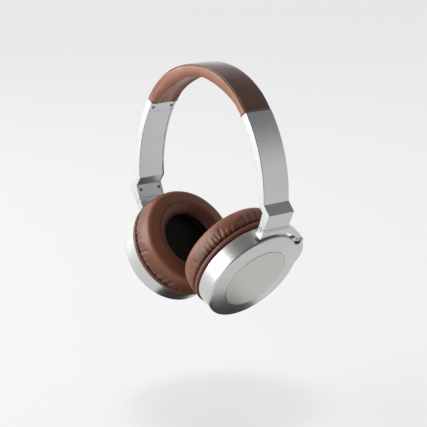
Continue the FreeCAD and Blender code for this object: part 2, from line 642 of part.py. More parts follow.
# ---------------------------------------------------------------- cup
def ear():
    """Rounded ear on the rear of the shell, outside the end of the yoke's arm."""
    root = CUP_RADIUS - EAR_SINK
    floor = PIVOT_HEIGHT - CLAW_BOSS - SIDE_PLAY
    foot = root * V(0, sin(radians(EAR_FOOT)), cos(radians(EAR_FOOT)))
    side = V(0, CHEEK_OUT + CHEEK_SWELL, PIVOT_HEIGHT - CHEEK_SHOULDER)
    bulge = V(0, CUP_RADIUS + EAR_BULGE, EAR_BULGE_HEIGHT)
    top_out = V(0, CHEEK_OUT - SIDE_PLAY, PIVOT_HEIGHT + CHEEK_TOP - EAR_SINK)
    top_in = V(0, CHEEK_IN, PIVOT_HEIGHT + CHEEK_TOP)
    pocket_out = V(0, CHEEK_IN, floor)
    pocket_in = V(0, sqrt(root ** 2 - floor ** 2), floor)
    inner = V(0, CUP_RADIUS - 2 * CUP_WALL, EAR_ROOT_HEIGHT)
    edges = lines(top_in, top_out, side)
    edges.append(Part.Arc(side, bulge, foot).toShape())
    edges += lines(foot, inner, pocket_in, pocket_out, top_in)
    face = Part.Face(Part.Wire(edges))
    face.translate(V(-PIVOT_DEPTH - EAR_WIDTH / 2 - SIDE_PLAY, 0, 0))
    body = face.extrude(X_AXIS * EAR_WIDTH)
    rims = [e for e in body.Edges
            if e.BoundBox.XLength < TINY and e.BoundBox.YMin > CHEEK_IN - TINY
            and e.BoundBox.YMax > CHEEK_OUT - 2 * SIDE_PLAY and e.BoundBox.ZMin > 0]
    return body.makeFillet(EAR_EDGE, rims)


def relief():
    """Shallow step in the wall under the yoke, behind the rim of the face."""
    reach = radians(RELIEF_ANGLE)
    corner = V(0, sin(reach), cos(reach))
    other = V(0, -sin(reach), cos(reach))
    far = CUP_RADIUS + OVERCUT
    near = CUP_RADIUS - RELIEF_DEPTH
    edges = [Part.Arc(other * near, V(0, 0, near), corner * near).toShape()]
    edges += lines(corner * near, corner * far)
    edges.append(Part.Arc(corner * far, V(0, 0, far), other * far).toShape())
    edges += lines(other * far, other * near)
    face = Part.Face(Part.Wire(edges))
    face.translate(X_AXIS * (-CUP_DEPTH - OVERCUT))
    return face.extrude(X_AXIS * (CUP_DEPTH + OVERCUT - RELIEF_FRONT))


def make_cup_shell():
    """Spun shell with its ear, axle barrel, seat for the disc and screw posts."""
    radius = CUP_RADIUS
    floor = FACE_RISE - DISC_THICK
    wall = V(-CUP_EDGE, 0, radius)
    brow = V(0, 0, radius - CUP_EDGE)
    turn = CUP_EDGE * (1 - sqrt(0.5))
    middle = V(-CUP_DEPTH, 0, 0)
    edges = lines(middle, V(-CUP_DEPTH, 0, radius + CUP_FLARE), wall)
    edges.append(Part.Arc(wall, V(-turn, 0, radius - turn), brow).toShape())
    edges += lines(brow, V(FACE_RISE, 0, DISC_RADIUS + DISC_GAP), V(FACE_RISE, 0, 0), middle)
    solid = Part.Face(Part.Wire(edges)).revolve(V(0, 0, 0), X_AXIS, 360)
    room = disc(-CUP_DEPTH - OVERCUT, floor - CUP_WALL, radius - CUP_WALL)
    seat = disc(floor, FACE_RISE + OVERCUT, DISC_RADIUS + DISC_GAP)
    barrel_start = PIVOT + Y_AXIS * (BARREL_END - BARREL_LENGTH)
    barrel = rod(barrel_start, Y_AXIS, BARREL_RADIUS, BARREL_LENGTH)
    post_length = CUP_DEPTH + floor - BAFFLE_POST_TOP
    posts = [rod(V(-CUP_DEPTH, y, z), X_AXIS, BAFFLE_POST, post_length) for y, z in screw_circle()]
    bores = [rod(V(-CUP_DEPTH - OVERCUT, y, z), X_AXIS, SCREW_SHANK,
                 OVERCUT + BAFFLE_SCREW_LENGTH) for y, z in screw_circle()]
    bush_room = rod(barrel_start, Y_AXIS, BUSH_RADIUS, BARREL_LENGTH + OVERCUT)
    flange_room = rod(PIVOT + Y_AXIS * (BARREL_END - AXLE_BUSH_FLANGE), Y_AXIS,
                      BARREL_RADIUS + FIT, AXLE_BUSH_FLANGE)
    cheek_bore = rod(PIVOT, Y_AXIS, AXLE_RADIUS + PIN_RUN, PIVOT_REACH)
    body = fuse(cut(solid, room, relief()), ear(), barrel, *posts)
    return cut(body, bush_room, flange_room, cheek_bore, seat, *bores)


def screw_circle():
    """(y, z) of the baffle screws."""
    places = []
    for k in range(BAFFLE_SCREWS):
        angle = 2 * pi * (k + 0.5) / BAFFLE_SCREWS
        places.append((BAFFLE_SCREW_CIRCLE * sin(angle), BAFFLE_SCREW_CIRCLE * cos(angle)))
    return places


def ear_pad():
    """Plain closed ring of the cushion, with its skirt and the rounded crown."""
    back = -CUP_DEPTH - BAFFLE_STEP
    crest = back - PAD_DEPTH
    groove = back - PAD_FLANGE
    side = groove - PAD_SIDE
    lip = crest + PAD_LIP
    seat = PAD_HOLE_RADIUS + PAD_SEAT
    rear = back - RING_THICK - CLOTH_THICK
    start = V(back, 0, seat)
    widest = V(side, 0, PAD_RADIUS)
    skirt = [start, V(back, 0, PAD_FLANGE_RADIUS),
             V(groove + PAD_SEAM_RISE, 0, PAD_FLANGE_RADIUS),
             V(groove, 0, PAD_FLANGE_RADIUS - PAD_SEAM), widest]
    crown = V(crest, 0, PAD_CREST_RADIUS)
    eighth = sqrt(0.5)
    shoulder = V(side - (side - crest) * eighth, 0,
                 PAD_CREST_RADIUS + (PAD_RADIUS - PAD_CREST_RADIUS) * eighth)
    mouth = V(lip, 0, PAD_HOLE_RADIUS)
    slope = V((crest + lip) / 2 - PAD_SLOPE, 0, (PAD_CREST_RADIUS + PAD_HOLE_RADIUS) / 2)
    edges = lines(*skirt)
    edges.append(Part.Arc(widest, shoulder, crown).toShape())
    edges.append(Part.Arc(crown, slope, mouth).toShape())
    edges += lines(mouth, V(rear, 0, PAD_HOLE_RADIUS + PAD_MOUTH_FLARE), V(rear, 0, seat), start)
    return Part.Face(Part.Wire(edges)).revolve(V(0, 0, 0), X_AXIS, 360)


def make_cup():
    """Everything that tilts with the left cup."""
    shell = make_cup_shell()
    socket_start = V(-CUP_DEPTH / 2, 0, SOCKET_SINK - CUP_RADIUS)
    socket_room = rod(socket_start - Z_AXIS * OVERCUT, Z_AXIS, SOCKET_RADIUS,
                      CUP_WALL + 2 * OVERCUT)
    solids["cup_shell_right"] = mirrored(to_cup(shell))
    solids["cup_shell_left"] = to_cup(cut(shell, socket_room))

    top = FACE_RISE + DISC_PROUD
    face_disc = disc(FACE_RISE - DISC_THICK, top, DISC_RADIUS)
    rim = [e for e in face_disc.Edges if abs(e.BoundBox.XMin - top) < TINY]
    solids["face_disc_left"] = to_cup(face_disc.makeFillet(DISC_EDGE, rim))

    bush = fuse(rod(PIVOT + Y_AXIS * (BARREL_END - BARREL_LENGTH), Y_AXIS, BUSH_RADIUS,
                    BARREL_LENGTH),
                rod(PIVOT + Y_AXIS * (BARREL_END - AXLE_BUSH_FLANGE), Y_AXIS, BARREL_RADIUS,
                    AXLE_BUSH_FLANGE))
    axle_run = rod(PIVOT, Y_AXIS, AXLE_RADIUS + PIN_RUN, PIVOT_REACH)
    solids["tilt_bush_left"] = to_cup(cut(bush, axle_run))

    barrel = rod(socket_start, Z_AXIS, SOCKET_RADIUS, SOCKET_LENGTH)
    bore = rod(socket_start - Z_AXIS * OVERCUT, Z_AXIS, SOCKET_BORE, SOCKET_BORE_DEPTH + OVERCUT)
    solids["jack_socket"] = to_cup(cut(barrel, bore))
    make_baffle()
    make_driver()


def make_baffle():
    """Baffle with its screws, the pad's ring, the cloth and the ear pad."""
    back = -CUP_DEPTH
    step = back - BAFFLE_STEP
    seat = PAD_HOLE_RADIUS + PAD_SEAT
    plate_body = disc(step, back, BAFFLE_RADIUS, BAFFLE_HOLE)
    collar = disc(back, back + BAFFLE_THICK, DRIVER_RADIUS + COLLAR_WALL, DRIVER_RADIUS)
    clear = [rod(V(step - OVERCUT, y, z), X_AXIS, SCREW_SHANK + FIT,
                 BAFFLE_STEP + BAFFLE_THICK + 2 * OVERCUT) for y, z in screw_circle()]
    solids["baffle_left"] = to_cup(cut(fuse(plate_body, collar), *clear))
    screws = []
    for y, z in screw_circle():
        shank = rod(V(step, y, z), X_AXIS, SCREW_SHANK, BAFFLE_SCREW_LENGTH)
        head = rod(V(step - BAFFLE_HEAD_THICK, y, z), X_AXIS, SCREW_HEAD, BAFFLE_HEAD_THICK)
        screws.append(to_cup(fuse(shank, head)))
    solids["baffle_screws_left"] = group(screws)
    ring_front = step - RING_THICK
    solids["pad_ring_left"] = to_cup(disc(ring_front, step, seat,
                                          DRIVER_RADIUS + GRILLE_RIM + RING_FIT))
    solids["baffle_cloth_left"] = to_cup(disc(ring_front - CLOTH_THICK, ring_front, seat))
    head_rooms = [rod(V(step - PAD_SCREW_DEPTH, y, z), X_AXIS, SCREW_HEAD + PAD_SCREW_ROOM,
                      PAD_SCREW_DEPTH + OVERCUT) for y, z in screw_circle()]
    solids["ear_pad_left"] = to_cup(cut(ear_pad(), *head_rooms))


def make_driver():
    """Frame, magnet, diaphragm and grille of the left driver."""
    back = -CUP_DEPTH
    step = back - BAFFLE_STEP
    frame_front = back + BAFFLE_THICK + FRAME_RISE
    web = frame_front - FRAME_WEB
    frame = fuse(disc(back, frame_front, DRIVER_RADIUS, DIAPHRAGM_RADIUS + FRAME_LAND),
                 disc(web, frame_front, DIAPHRAGM_RADIUS + 2 * FRAME_LAND, MAGNET_RADIUS))
    solids["driver_frame_left"] = to_cup(frame)
    solids["driver_magnet_left"] = to_cup(disc(web, web + MAGNET_THICK, MAGNET_RADIUS))
    solids["diaphragm_left"] = to_cup(turned([(back + x, radius) for x, radius in DOME]))
    grille = disc(step - GRILLE_THICK, step, DRIVER_RADIUS + GRILLE_RIM)
    holes = []
    for ring, count in GRILLE_RINGS:
        for k in range(count):
            angle = 2 * pi * k / count
            holes.append(rod(V(step - GRILLE_THICK - OVERCUT, ring * sin(angle), ring * cos(angle)),
                             X_AXIS, GRILLE_HOLE, GRILLE_THICK + 2 * OVERCUT))
    solids["driver_grille_left"] = to_cup(cut(grille, *holes))


def mirrored(shape):
    """The same shape on the other side of the head."""
    return shape.mirror(V(0, 0, 0), X_AXIS)


def main():
    """Build every piece, mirror the left side and write one STEP file per node."""
    make_headband()
    make_arm()
    make_yoke()
    make_cup()
    for name in [n for n in solids if n.endswith("_left")]:
        twin = name.replace("_left", "_right")
        if twin not in solids:
            solids[twin] = mirrored(solids[name])
    os.makedirs("parts", exist_ok=True)
    for name, shape in solids.items():
        shape.exportStep(os.path.join("parts", name + ".step"))
        print(f"{name:24s} solids {len(shape.Solids)} valid {shape.isValid()} "
              f"volume {shape.Volume:10.1f}")
    print("seam middle", seam_middle(), "swivel axis", KNEE_DIR)
    print("slide axis", SLIDE_AXIS)
    print("pivot", cup_point(PIVOT))
    print("socket mouth", cup_point(V(-CUP_DEPTH / 2, 0, SOCKET_SINK - CUP_RADIUS)))
    print("nodes", len(solids))


main()
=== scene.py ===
"""Looks of a pair of over ear headphones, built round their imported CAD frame.

Sizes are in millimetres and turned to metres where a mesh, light or camera is made.
+X is the wearer's left, -Y the front and +Z up; the band's underside at its apex is the origin.
"""

import logging
import math
import random
from dataclasses import dataclass, field
from enum import Enum
from typing import Iterable

import bpy
import numpy as np
from mathutils import Matrix, Vector


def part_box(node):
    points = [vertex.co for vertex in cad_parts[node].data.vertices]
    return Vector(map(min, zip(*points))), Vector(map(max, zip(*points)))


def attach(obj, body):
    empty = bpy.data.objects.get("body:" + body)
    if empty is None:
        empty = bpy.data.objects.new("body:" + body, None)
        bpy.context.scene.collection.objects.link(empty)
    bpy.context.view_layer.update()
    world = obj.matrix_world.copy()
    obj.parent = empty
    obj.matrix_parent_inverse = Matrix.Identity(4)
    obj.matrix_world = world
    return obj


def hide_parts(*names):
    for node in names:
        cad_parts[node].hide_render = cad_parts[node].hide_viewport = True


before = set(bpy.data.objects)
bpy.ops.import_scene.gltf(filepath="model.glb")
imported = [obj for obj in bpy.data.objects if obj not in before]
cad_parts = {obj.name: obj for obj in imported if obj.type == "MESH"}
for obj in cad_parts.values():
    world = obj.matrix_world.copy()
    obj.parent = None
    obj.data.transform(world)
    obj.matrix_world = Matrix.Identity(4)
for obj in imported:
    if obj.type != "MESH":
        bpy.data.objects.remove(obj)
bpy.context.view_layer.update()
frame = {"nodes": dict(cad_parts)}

MM = 0.001
LOG = logging.getLogger("headphones")

Tree = bpy.types.NodeTree
Node = bpy.types.Node
Socket = bpy.types.NodeSocket
Place = tuple[float, float, float]


class Side(Enum):
    """The side of the head, with the sign of its X."""

    LEFT = 1
    RIGHT = -1

    def node(self, name: str) -> str:
        """Name of this side's copy of a CAD node, body or joint."""
        return f"{name}_{self.name.lower()}"


class Brush(Enum):
    """Direction in which a metal surface was worked."""

    LENGTHWISE = "along the arm"
    SPUN = "round the cup"


# ---------------------------------------------------------------- shader helpers
def linear(code: str) -> tuple[float, float, float, float]:
    """Turns an sRGB hex colour to linear RGBA.

    Args:
        code: Six hex digits, such as "7a4630".

    Returns:
        Red, green, blue and alpha, each from 0 to 1.
    """
    channels = [int(code[k:k + 2], 16) / 255 for k in (0, 2, 4)]
    scaled = [c / 12.92 if c <= 0.04045 else ((c + 0.055) / 1.055) ** 2.4 for c in channels]
    return (*scaled, 1.0)


def add_node(tree: Tree, kind: str, inputs: dict | None = None, **settings: object) -> Node:
    """Adds a shader node with its settings and links.

    Args:
        tree: Tree that takes the node.
        kind: Blender's name of the node type.
        inputs: Socket name or index to a value, or to the output socket that feeds it.
        settings: Attributes of the node.

    Returns:
        The new node.
    """
    node = tree.nodes.new(kind)
    for name, value in settings.items():
        setattr(node, name, value)
    for socket, value in (inputs or {}).items():
        if isinstance(value, Socket):
            tree.links.new(value, node.inputs[socket])
        else:
            node.inputs[socket].default_value = value
    return node


def per_metre(size: float) -> float:
    """Texture scale whose features are a size in millimetres across."""
    return 1 / (size * MM)


# Worked lines, pores, mould pits and knit cells are too fine to show on the whole headphones.
# A comment by each size says what the real one is; it's drawn as coarse as it needs to show.
@dataclass(frozen=True)
class Finish:
    """What every finish shares: a name and the shader it ends in."""

    name: str
    colour: str
    roughness: float
    metallic: float = 0.0

    def material(self) -> bpy.types.Material:
        """Makes the material.

        Returns:
            The finished material.
        """
        made = bpy.data.materials.new(self.name)
        made.use_nodes = True
        tree = made.node_tree
        shader = tree.nodes["Principled BSDF"]
        shader.inputs["Metallic"].default_value = self.metallic
        place = add_node(tree, "ShaderNodeTexCoord").outputs["Object"]
        self.dress(tree, shader, place)
        return made

    def dress(self, tree: Tree, shader: Node, place: Socket) -> None:
        """Adds the pattern of the finish.

        Args:
            tree: Tree of the material.
            shader: Its principled shader.
            place: Object coordinates, in metres.
        """
        raise NotImplementedError


@dataclass(frozen=True)
class Leather(Finish):
    """Pigmented cowhide with a glossy top coat, stretched over foam.

    The pebbled grain breaks up the highlight; painted shade darkens folds and seams, and a painted
    highlight makes rounded places paler.
    """

    # Colour of the darker mottle, and of the painted shade in folds and seams.
    dark: str = "381a0c"
    # Paler colour of the painted highlight.
    painted_highlight: str = "a2694a"
    # Real pebbles are 0.5 to 0.8 mm across, too fine to show, so they're about twice that.
    grain: float = 1.5
    grain_depth: float = 0.05
    pore_share: float = 0.25
    pore_depth: float = 0.35
    blotch: float = 14.0
    mottle: float = 0.35
    gloss_change: tuple[float, float] = (-0.06, 0.1)
    coat: float = 0.12
    coat_roughness: float = 0.22

    def dress(self, tree: Tree, shader: Node, place: Socket) -> None:
        """Mottled colour, painted shade in folds, painted highlights, and a pebbled grain.

        Args:
            tree: Tree of the material.
            shader: Its principled shader.
            place: Object coordinates, in metres.
        """
        blotches = add_node(tree, "ShaderNodeTexNoise",
                            {"Vector": place, "Scale": per_metre(self.blotch), "Detail": 4.0})
        mottle = add_node(tree, "ShaderNodeMapRange",
                          {"Value": blotches.outputs["Fac"], "From Min": 0.35, "From Max": 0.7,
                           "To Max": self.mottle})
        body = add_node(tree, "ShaderNodeMix",
                        {"Factor": mottle.outputs["Result"], "A": linear(self.colour),
                         "B": linear(self.dark)}, data_type="RGBA")
        # Painted highlight, mixed in where the mesh marks it.
        highlight_attribute = add_node(tree, "ShaderNodeAttribute", attribute_name="painted_highlight")
        painted_highlight = add_node(tree, "ShaderNodeMix",
                          {"Factor": highlight_attribute.outputs["Fac"], "A": body.outputs["Result"],
                           "B": linear(self.painted_highlight)}, data_type="RGBA")
        # Painted shade in folds, seams and hollows, mixed in where the mesh marks it.
        painted_shade = add_node(tree, "ShaderNodeAttribute", attribute_name="painted_shade")
        colour = add_node(tree, "ShaderNodeMix",
                          {"Factor": painted_shade.outputs["Fac"], "A": painted_highlight.outputs["Result"],
                           "B": linear(self.dark)}, data_type="RGBA")
        tree.links.new(colour.outputs["Result"], shader.inputs["Base Color"])
        pebbles = add_node(tree, "ShaderNodeTexVoronoi",
                           {"Vector": place, "Scale": per_metre(self.grain)},
                           feature="DISTANCE_TO_EDGE")
        rounded = add_node(tree, "ShaderNodeMapRange",
                           {"Value": pebbles.outputs["Distance"], "From Max": 0.35})
        pores = add_node(tree, "ShaderNodeTexNoise",
                         {"Vector": place, "Scale": per_metre(self.grain * self.pore_share),
                          "Detail": 3.0})
        height = add_node(tree, "ShaderNodeMath",
                          {0: pores.outputs["Fac"], 1: self.pore_depth,
                           2: rounded.outputs["Result"]},
                          operation="MULTIPLY_ADD")
        bump = add_node(tree, "ShaderNodeBump",
                        {"Height": height.outputs["Value"], "Distance": self.grain_depth * MM,
                         "Strength": 0.8})
        tree.links.new(bump.outputs["Normal"], shader.inputs["Normal"])
        glossy, dull = (self.roughness + change for change in self.gloss_change)
        gloss = add_node(tree, "ShaderNodeMapRange",
                         {"Value": blotches.outputs["Fac"], "From Min": 0.3, "From Max": 0.7,
                          "To Min": glossy, "To Max": dull})
        tree.links.new(gloss.outputs["Result"], shader.inputs["Roughness"])
        shader.inputs["IOR"].default_value = 1.5
        shader.inputs["Coat Weight"].default_value = self.coat
        shader.inputs["Coat Roughness"].default_value = self.coat_roughness


@dataclass(frozen=True)
class SatinMetal(Finish):
    """Aluminium, worked to fine parallel lines and clear anodised.

    The lines spread highlights across their own direction; handling leaves faint smears.
    """

    brush: Brush = Brush.LENGTHWISE
    # Real lines are about 0.1 mm apart, which is too fine to show: these are bands of them.
    line: float = 1.1
    line_length: float = 90.0
    line_depth: float = 0.001
    line_share: float = 0.6
    smear: float = 25.0
    contrast: float = 0.025
    # Middle of the curve or of the lathe's axis that the lines follow, in metres.
    centre: Place = (0.0, 0.0, 0.0)
    axis: Place = (1.0, 0.0, 0.0)

    def line_place(self, tree: Tree, place: Socket) -> Socket:
        """Coordinates in which the worked lines run.

        Args:
            tree: Tree of the material.
            place: Object coordinates, in metres.

        Returns:
            A vector that changes fast across the lines and slowly along them.
        """
        across, along = per_metre(self.line), per_metre(self.line_length)
        if self.brush is Brush.LENGTHWISE:
            folded = add_node(tree, "ShaderNodeVectorMath", {0: place}, operation="ABSOLUTE")
            whole = add_node(tree, "ShaderNodeSeparateXYZ", {"Vector": place})
            half = add_node(tree, "ShaderNodeSeparateXYZ", {"Vector": folded.outputs["Vector"]})
            flat = add_node(tree, "ShaderNodeCombineXYZ",
                            {"X": half.outputs["X"], "Z": whole.outputs["Z"]})
            bend = add_node(tree, "ShaderNodeVectorMath",
                            {0: flat.outputs["Vector"], 1: self.centre}, operation="DISTANCE")
            lanes = add_node(tree, "ShaderNodeCombineXYZ",
                             {"X": bend.outputs["Value"], "Y": whole.outputs["Y"],
                              "Z": whole.outputs["Z"]})
            return add_node(tree, "ShaderNodeMapping",
                            {"Vector": lanes.outputs["Vector"],
                             "Scale": (across, across, along)}).outputs["Vector"]
        arm = add_node(tree, "ShaderNodeVectorMath", {0: place, 1: self.centre},
                       operation="SUBTRACT")
        swept = add_node(tree, "ShaderNodeVectorMath", {0: arm.outputs["Vector"], 1: self.axis},
                         operation="CROSS_PRODUCT")
        radius = add_node(tree, "ShaderNodeVectorMath", {0: swept.outputs["Vector"]},
                          operation="LENGTH")
        depth = add_node(tree, "ShaderNodeVectorMath", {0: arm.outputs["Vector"], 1: self.axis},
                         operation="DOT_PRODUCT")
        turned = add_node(tree, "ShaderNodeCombineXYZ",
                          {"X": radius.outputs["Value"], "Y": depth.outputs["Value"]})
        return add_node(tree, "ShaderNodeVectorMath",
                        {0: turned.outputs["Vector"], "Scale": across},
                        operation="SCALE").outputs["Vector"]

    def dress(self, tree: Tree, shader: Node, place: Socket) -> None:
        """Worked lines in the bump and roughness, and faint smears.

        Args:
            tree: Tree of the material.
            shader: Its principled shader.
            place: Object coordinates, in metres.
        """
        lines = add_node(tree, "ShaderNodeTexNoise",
                         {"Vector": self.line_place(tree, place), "Scale": 1.0, "Detail": 2.0})
        smears = add_node(tree, "ShaderNodeTexNoise",
                          {"Vector": place, "Scale": per_metre(self.smear), "Detail": 3.0})
        both = add_node(tree, "ShaderNodeMath",
                        {0: lines.outputs["Fac"], 1: self.line_share,
                         2: smears.outputs["Fac"]},
                        operation="MULTIPLY_ADD")
        gloss = add_node(tree, "ShaderNodeMapRange",
                         {"Value": both.outputs["Value"], "From Min": 0.5, "From Max": 1.1,
                          "To Min": self.roughness - self.contrast,
                          "To Max": self.roughness + self.contrast})
        tree.links.new(gloss.outputs["Result"], shader.inputs["Roughness"])
        shade = add_node(tree, "ShaderNodeMapRange",
                         {"Value": both.outputs["Value"], "From Min": 0.5, "From Max": 1.1,
                          "To Min": 1.0 - self.contrast, "To Max": 1.0 + self.contrast})
        tint = add_node(tree, "ShaderNodeVectorMath",
                        {0: linear(self.colour)[:3], "Scale": shade.outputs["Result"]},
                        operation="SCALE")
        tree.links.new(tint.outputs["Vector"], shader.inputs["Base Color"])
        bump = add_node(tree, "ShaderNodeBump",
                        {"Height": lines.outputs["Fac"], "Distance": self.line_depth * MM,
                         "Strength": 0.6})
        tree.links.new(bump.outputs["Normal"], shader.inputs["Normal"])


@dataclass(frozen=True)
class Moulded(Finish):
    """Injection-moulded plastic or a plain plated part, with a spark-eroded fine texture."""

    # A spark-eroded mould leaves pits of about 0.05 mm, too fine to show, so they're coarser.
    texture: float = 0.6
    texture_depth: float = 0.01
    unevenness: float = 0.15
    gloss_change: float = 0.05

    def dress(self, tree: Tree, shader: Node, place: Socket) -> None:
        """Fine mould texture and slight unevenness of colour.

        Args:
            tree: Tree of the material.
            shader: Its principled shader.
            place: Object coordinates, in metres.
        """
        grain = add_node(tree, "ShaderNodeTexNoise",
                         {"Vector": place, "Scale": per_metre(self.texture), "Detail": 4.0})
        shade = add_node(tree, "ShaderNodeMapRange",
                         {"Value": grain.outputs["Fac"], "To Min": 1 - self.unevenness,
                          "To Max": 1 + self.unevenness})
        tint = add_node(tree, "ShaderNodeVectorMath",
                        {0: linear(self.colour)[:3], "Scale": shade.outputs["Result"]},
                        operation="SCALE")
        tree.links.new(tint.outputs["Vector"], shader.inputs["Base Color"])
        gloss = add_node(tree, "ShaderNodeMapRange",
                         {"Value": grain.outputs["Fac"],
                          "To Min": self.roughness - self.gloss_change,
                          "To Max": self.roughness + self.gloss_change})
        tree.links.new(gloss.outputs["Result"], shader.inputs["Roughness"])
        bump = add_node(tree, "ShaderNodeBump",
                        {"Height": grain.outputs["Fac"], "Distance": self.texture_depth * MM,
                         "Strength": 0.5})
        tree.links.new(bump.outputs["Normal"], shader.inputs["Normal"])


@dataclass(frozen=True)
class Knit(Finish):
    """Warp-knitted polyester stretched over the driver, or the foam under the leather."""

    # Real cells are 0.3 to 0.5 mm across, too fine to show, so they're about twice that.
    mesh_size: float = 1.0
    cell_depth: float = 0.15
    sheen: float = 0.3

    def dress(self, tree: Tree, shader: Node, place: Socket) -> None:
        """Rows of small open cells.

        Args:
            tree: Tree of the material.
            shader: Its principled shader.
            place: Object coordinates, in metres.
        """
        cells = add_node(tree, "ShaderNodeTexVoronoi",
                         {"Vector": place, "Scale": per_metre(self.mesh_size), "Randomness": 0.25})
        hole = add_node(tree, "ShaderNodeMapRange",
                        {"Value": cells.outputs["Distance"], "From Max": 0.6,
                         "To Min": 0.3, "To Max": 1.2})
        tint = add_node(tree, "ShaderNodeVectorMath",
                        {0: linear(self.colour)[:3], "Scale": hole.outputs["Result"]},
                        operation="SCALE")
        tree.links.new(tint.outputs["Vector"], shader.inputs["Base Color"])
        bump = add_node(tree, "ShaderNodeBump",
                        {"Height": cells.outputs["Distance"], "Distance": self.cell_depth * MM,
                         "Strength": 0.7})
        tree.links.new(bump.outputs["Normal"], shader.inputs["Normal"])
        shader.inputs["Roughness"].default_value = self.roughness
        shader.inputs["Sheen Weight"].default_value = self.sheen


@dataclass(frozen=True)
class MattSheet(Finish):
    """Paper or card of the studio, even all over, with a light of its own where it glows."""

    glow: float = 0.0

    def dress(self, tree: Tree, shader: Node, place: Socket) -> None:
        """Plain colour and glow.

        Args:
            tree: Tree of the material; not used.
            shader: Its principled shader.
            place: Object coordinates, in metres; not used.
        """
        shader.inputs["Base Color"].default_value = linear(self.colour)
        shader.inputs["Roughness"].default_value = self.roughness
        shader.inputs["Emission Color"].default_value = linear("ffffff")
        shader.inputs["Emission Strength"].default_value = self.glow


# ---------------------------------------------------------------- mesh helpers
def make_object(name: str, points: np.ndarray, faces: list[tuple[int, ...]],
                attributes: dict[str, np.ndarray] | None = None) -> bpy.types.Object:
    """Makes a smooth-shaded mesh object.

    Args:
        name: Name of the object.
        points: Rows of x, y and z in millimetres.
        faces: Vertex indices of each face.
        attributes: Name to one value for each point.

    Returns:
        The object, linked to the scene.
    """
    mesh = bpy.data.meshes.new(name)
    mesh.from_pydata((points * MM).tolist(), [], faces)
    mesh.update()
    mesh.shade_smooth()
    for title, values in (attributes or {}).items():
        layer = mesh.attributes.new(title, "FLOAT", "POINT")
        layer.data.foreach_set("value", values.astype(np.float32).ravel())
    made = bpy.data.objects.new(name, mesh)
    bpy.context.scene.collection.objects.link(made)
    return made


def tube_faces(rings: int, section: int, closed: bool) -> list[tuple[int, ...]]:
    """Faces of a grid of rings whose points run round a closed section.

    Args:
        rings: Number of rings.
        section: Points of each ring.
        closed: True where the last ring joins the first; otherwise both ends are capped.

    Returns:
        Quads, and two caps on an open tube.
    """
    faces = []
    for i in range(rings if closed else rings - 1):
        here, there = i * section, (i + 1) % rings * section
        for j in range(section):
            k = (j + 1) % section
            faces.append((here + j, here + k, there + k, there + j))
    if not closed:
        faces.append(tuple(range(section - 1, -1, -1)))
        faces.append(tuple((rings - 1) * section + j for j in range(section)))
    return faces


def smooth_loop(corners: Iterable[tuple[float, float]], count: int) -> np.ndarray:
    """Closed smooth curve through corners, evenly spaced along its length.

    Args:
        corners: Points in order.
        count: Number of points wanted.

    Returns:
        Rows of two coordinates.
    """
    knots = np.array(list(corners), float)
    steps = np.linspace(0, 1, 24, endpoint=False)[:, None]
    pieces = []
    for k in range(len(knots)):
        a, b, c, d = (knots[(k + n) % len(knots)] for n in (-1, 0, 1, 2))
        pieces.append(0.5 * (2 * b + (c - a) * steps + (2 * a - 5 * b + 4 * c - d) * steps ** 2
                             + (3 * b - a - 3 * c + d) * steps ** 3))
    fine = np.vstack(pieces)
    closed = np.vstack([fine, fine[:1]])
    reach = np.concatenate([[0], np.cumsum(np.linalg.norm(np.diff(closed, axis=0), axis=1))])
    wanted = np.linspace(0, reach[-1], count, endpoint=False)
    return np.column_stack([np.interp(wanted, reach, closed[:, k]) for k in (0, 1)])


def normals_of(grid: np.ndarray, closed: bool) -> np.ndarray:
    """Unit normals of a grid of rings.

    Args:
        grid: Array of rings, section points and three coordinates.
        closed: True where the last ring joins the first.

    Returns:
        An array like the grid, pointing out of the tube.
    """
    if closed:
        along = np.roll(grid, -1, axis=0) - np.roll(grid, 1, axis=0)
    else:
        along = np.gradient(grid, axis=0)
    around = np.roll(grid, -1, axis=1) - np.roll(grid, 1, axis=1)
    normal = np.cross(along, around)
    normal /= np.linalg.norm(normal, axis=2, keepdims=True) + 1e-12
    middle = grid.mean(axis=1, keepdims=True)
    outwards = np.sign(((grid - middle) * normal).sum(axis=2).mean())
    return normal * (outwards or 1.0)


def finer(grid: np.ndarray, rings: int, section: int) -> np.ndarray:
    """Spreads a closed grid of values smoothly over more rings and section points.

    Args:
        grid: Array of rings, section points and any last axis.
        rings: Number of rings wanted.
        section: Number of section points wanted.

    Returns:
        The finer array.
    """
    for axis, count in ((0, rings), (1, section)):
        size = grid.shape[axis]
        place = np.arange(count) * size / count
        low = np.floor(place).astype(int)
        share = place - low
        shape = [1, 1, 1]
        shape[axis] = count
        share = (share * share * (3 - 2 * share)).reshape(shape)
        grid = (np.take(grid, low % size, axis=axis) * (1 - share)
                + np.take(grid, (low + 1) % size, axis=axis) * share)
    return grid


def bell(distance: np.ndarray, width: float | np.ndarray) -> np.ndarray:
    """1 at zero distance, falling smoothly to nothing a couple of widths away."""
    return np.exp(-(distance / width) ** 2)


def wrap(angle: np.ndarray) -> np.ndarray:
    """Angle in radians brought between -pi and pi."""
    return (angle + math.pi) % (2 * math.pi) - math.pi


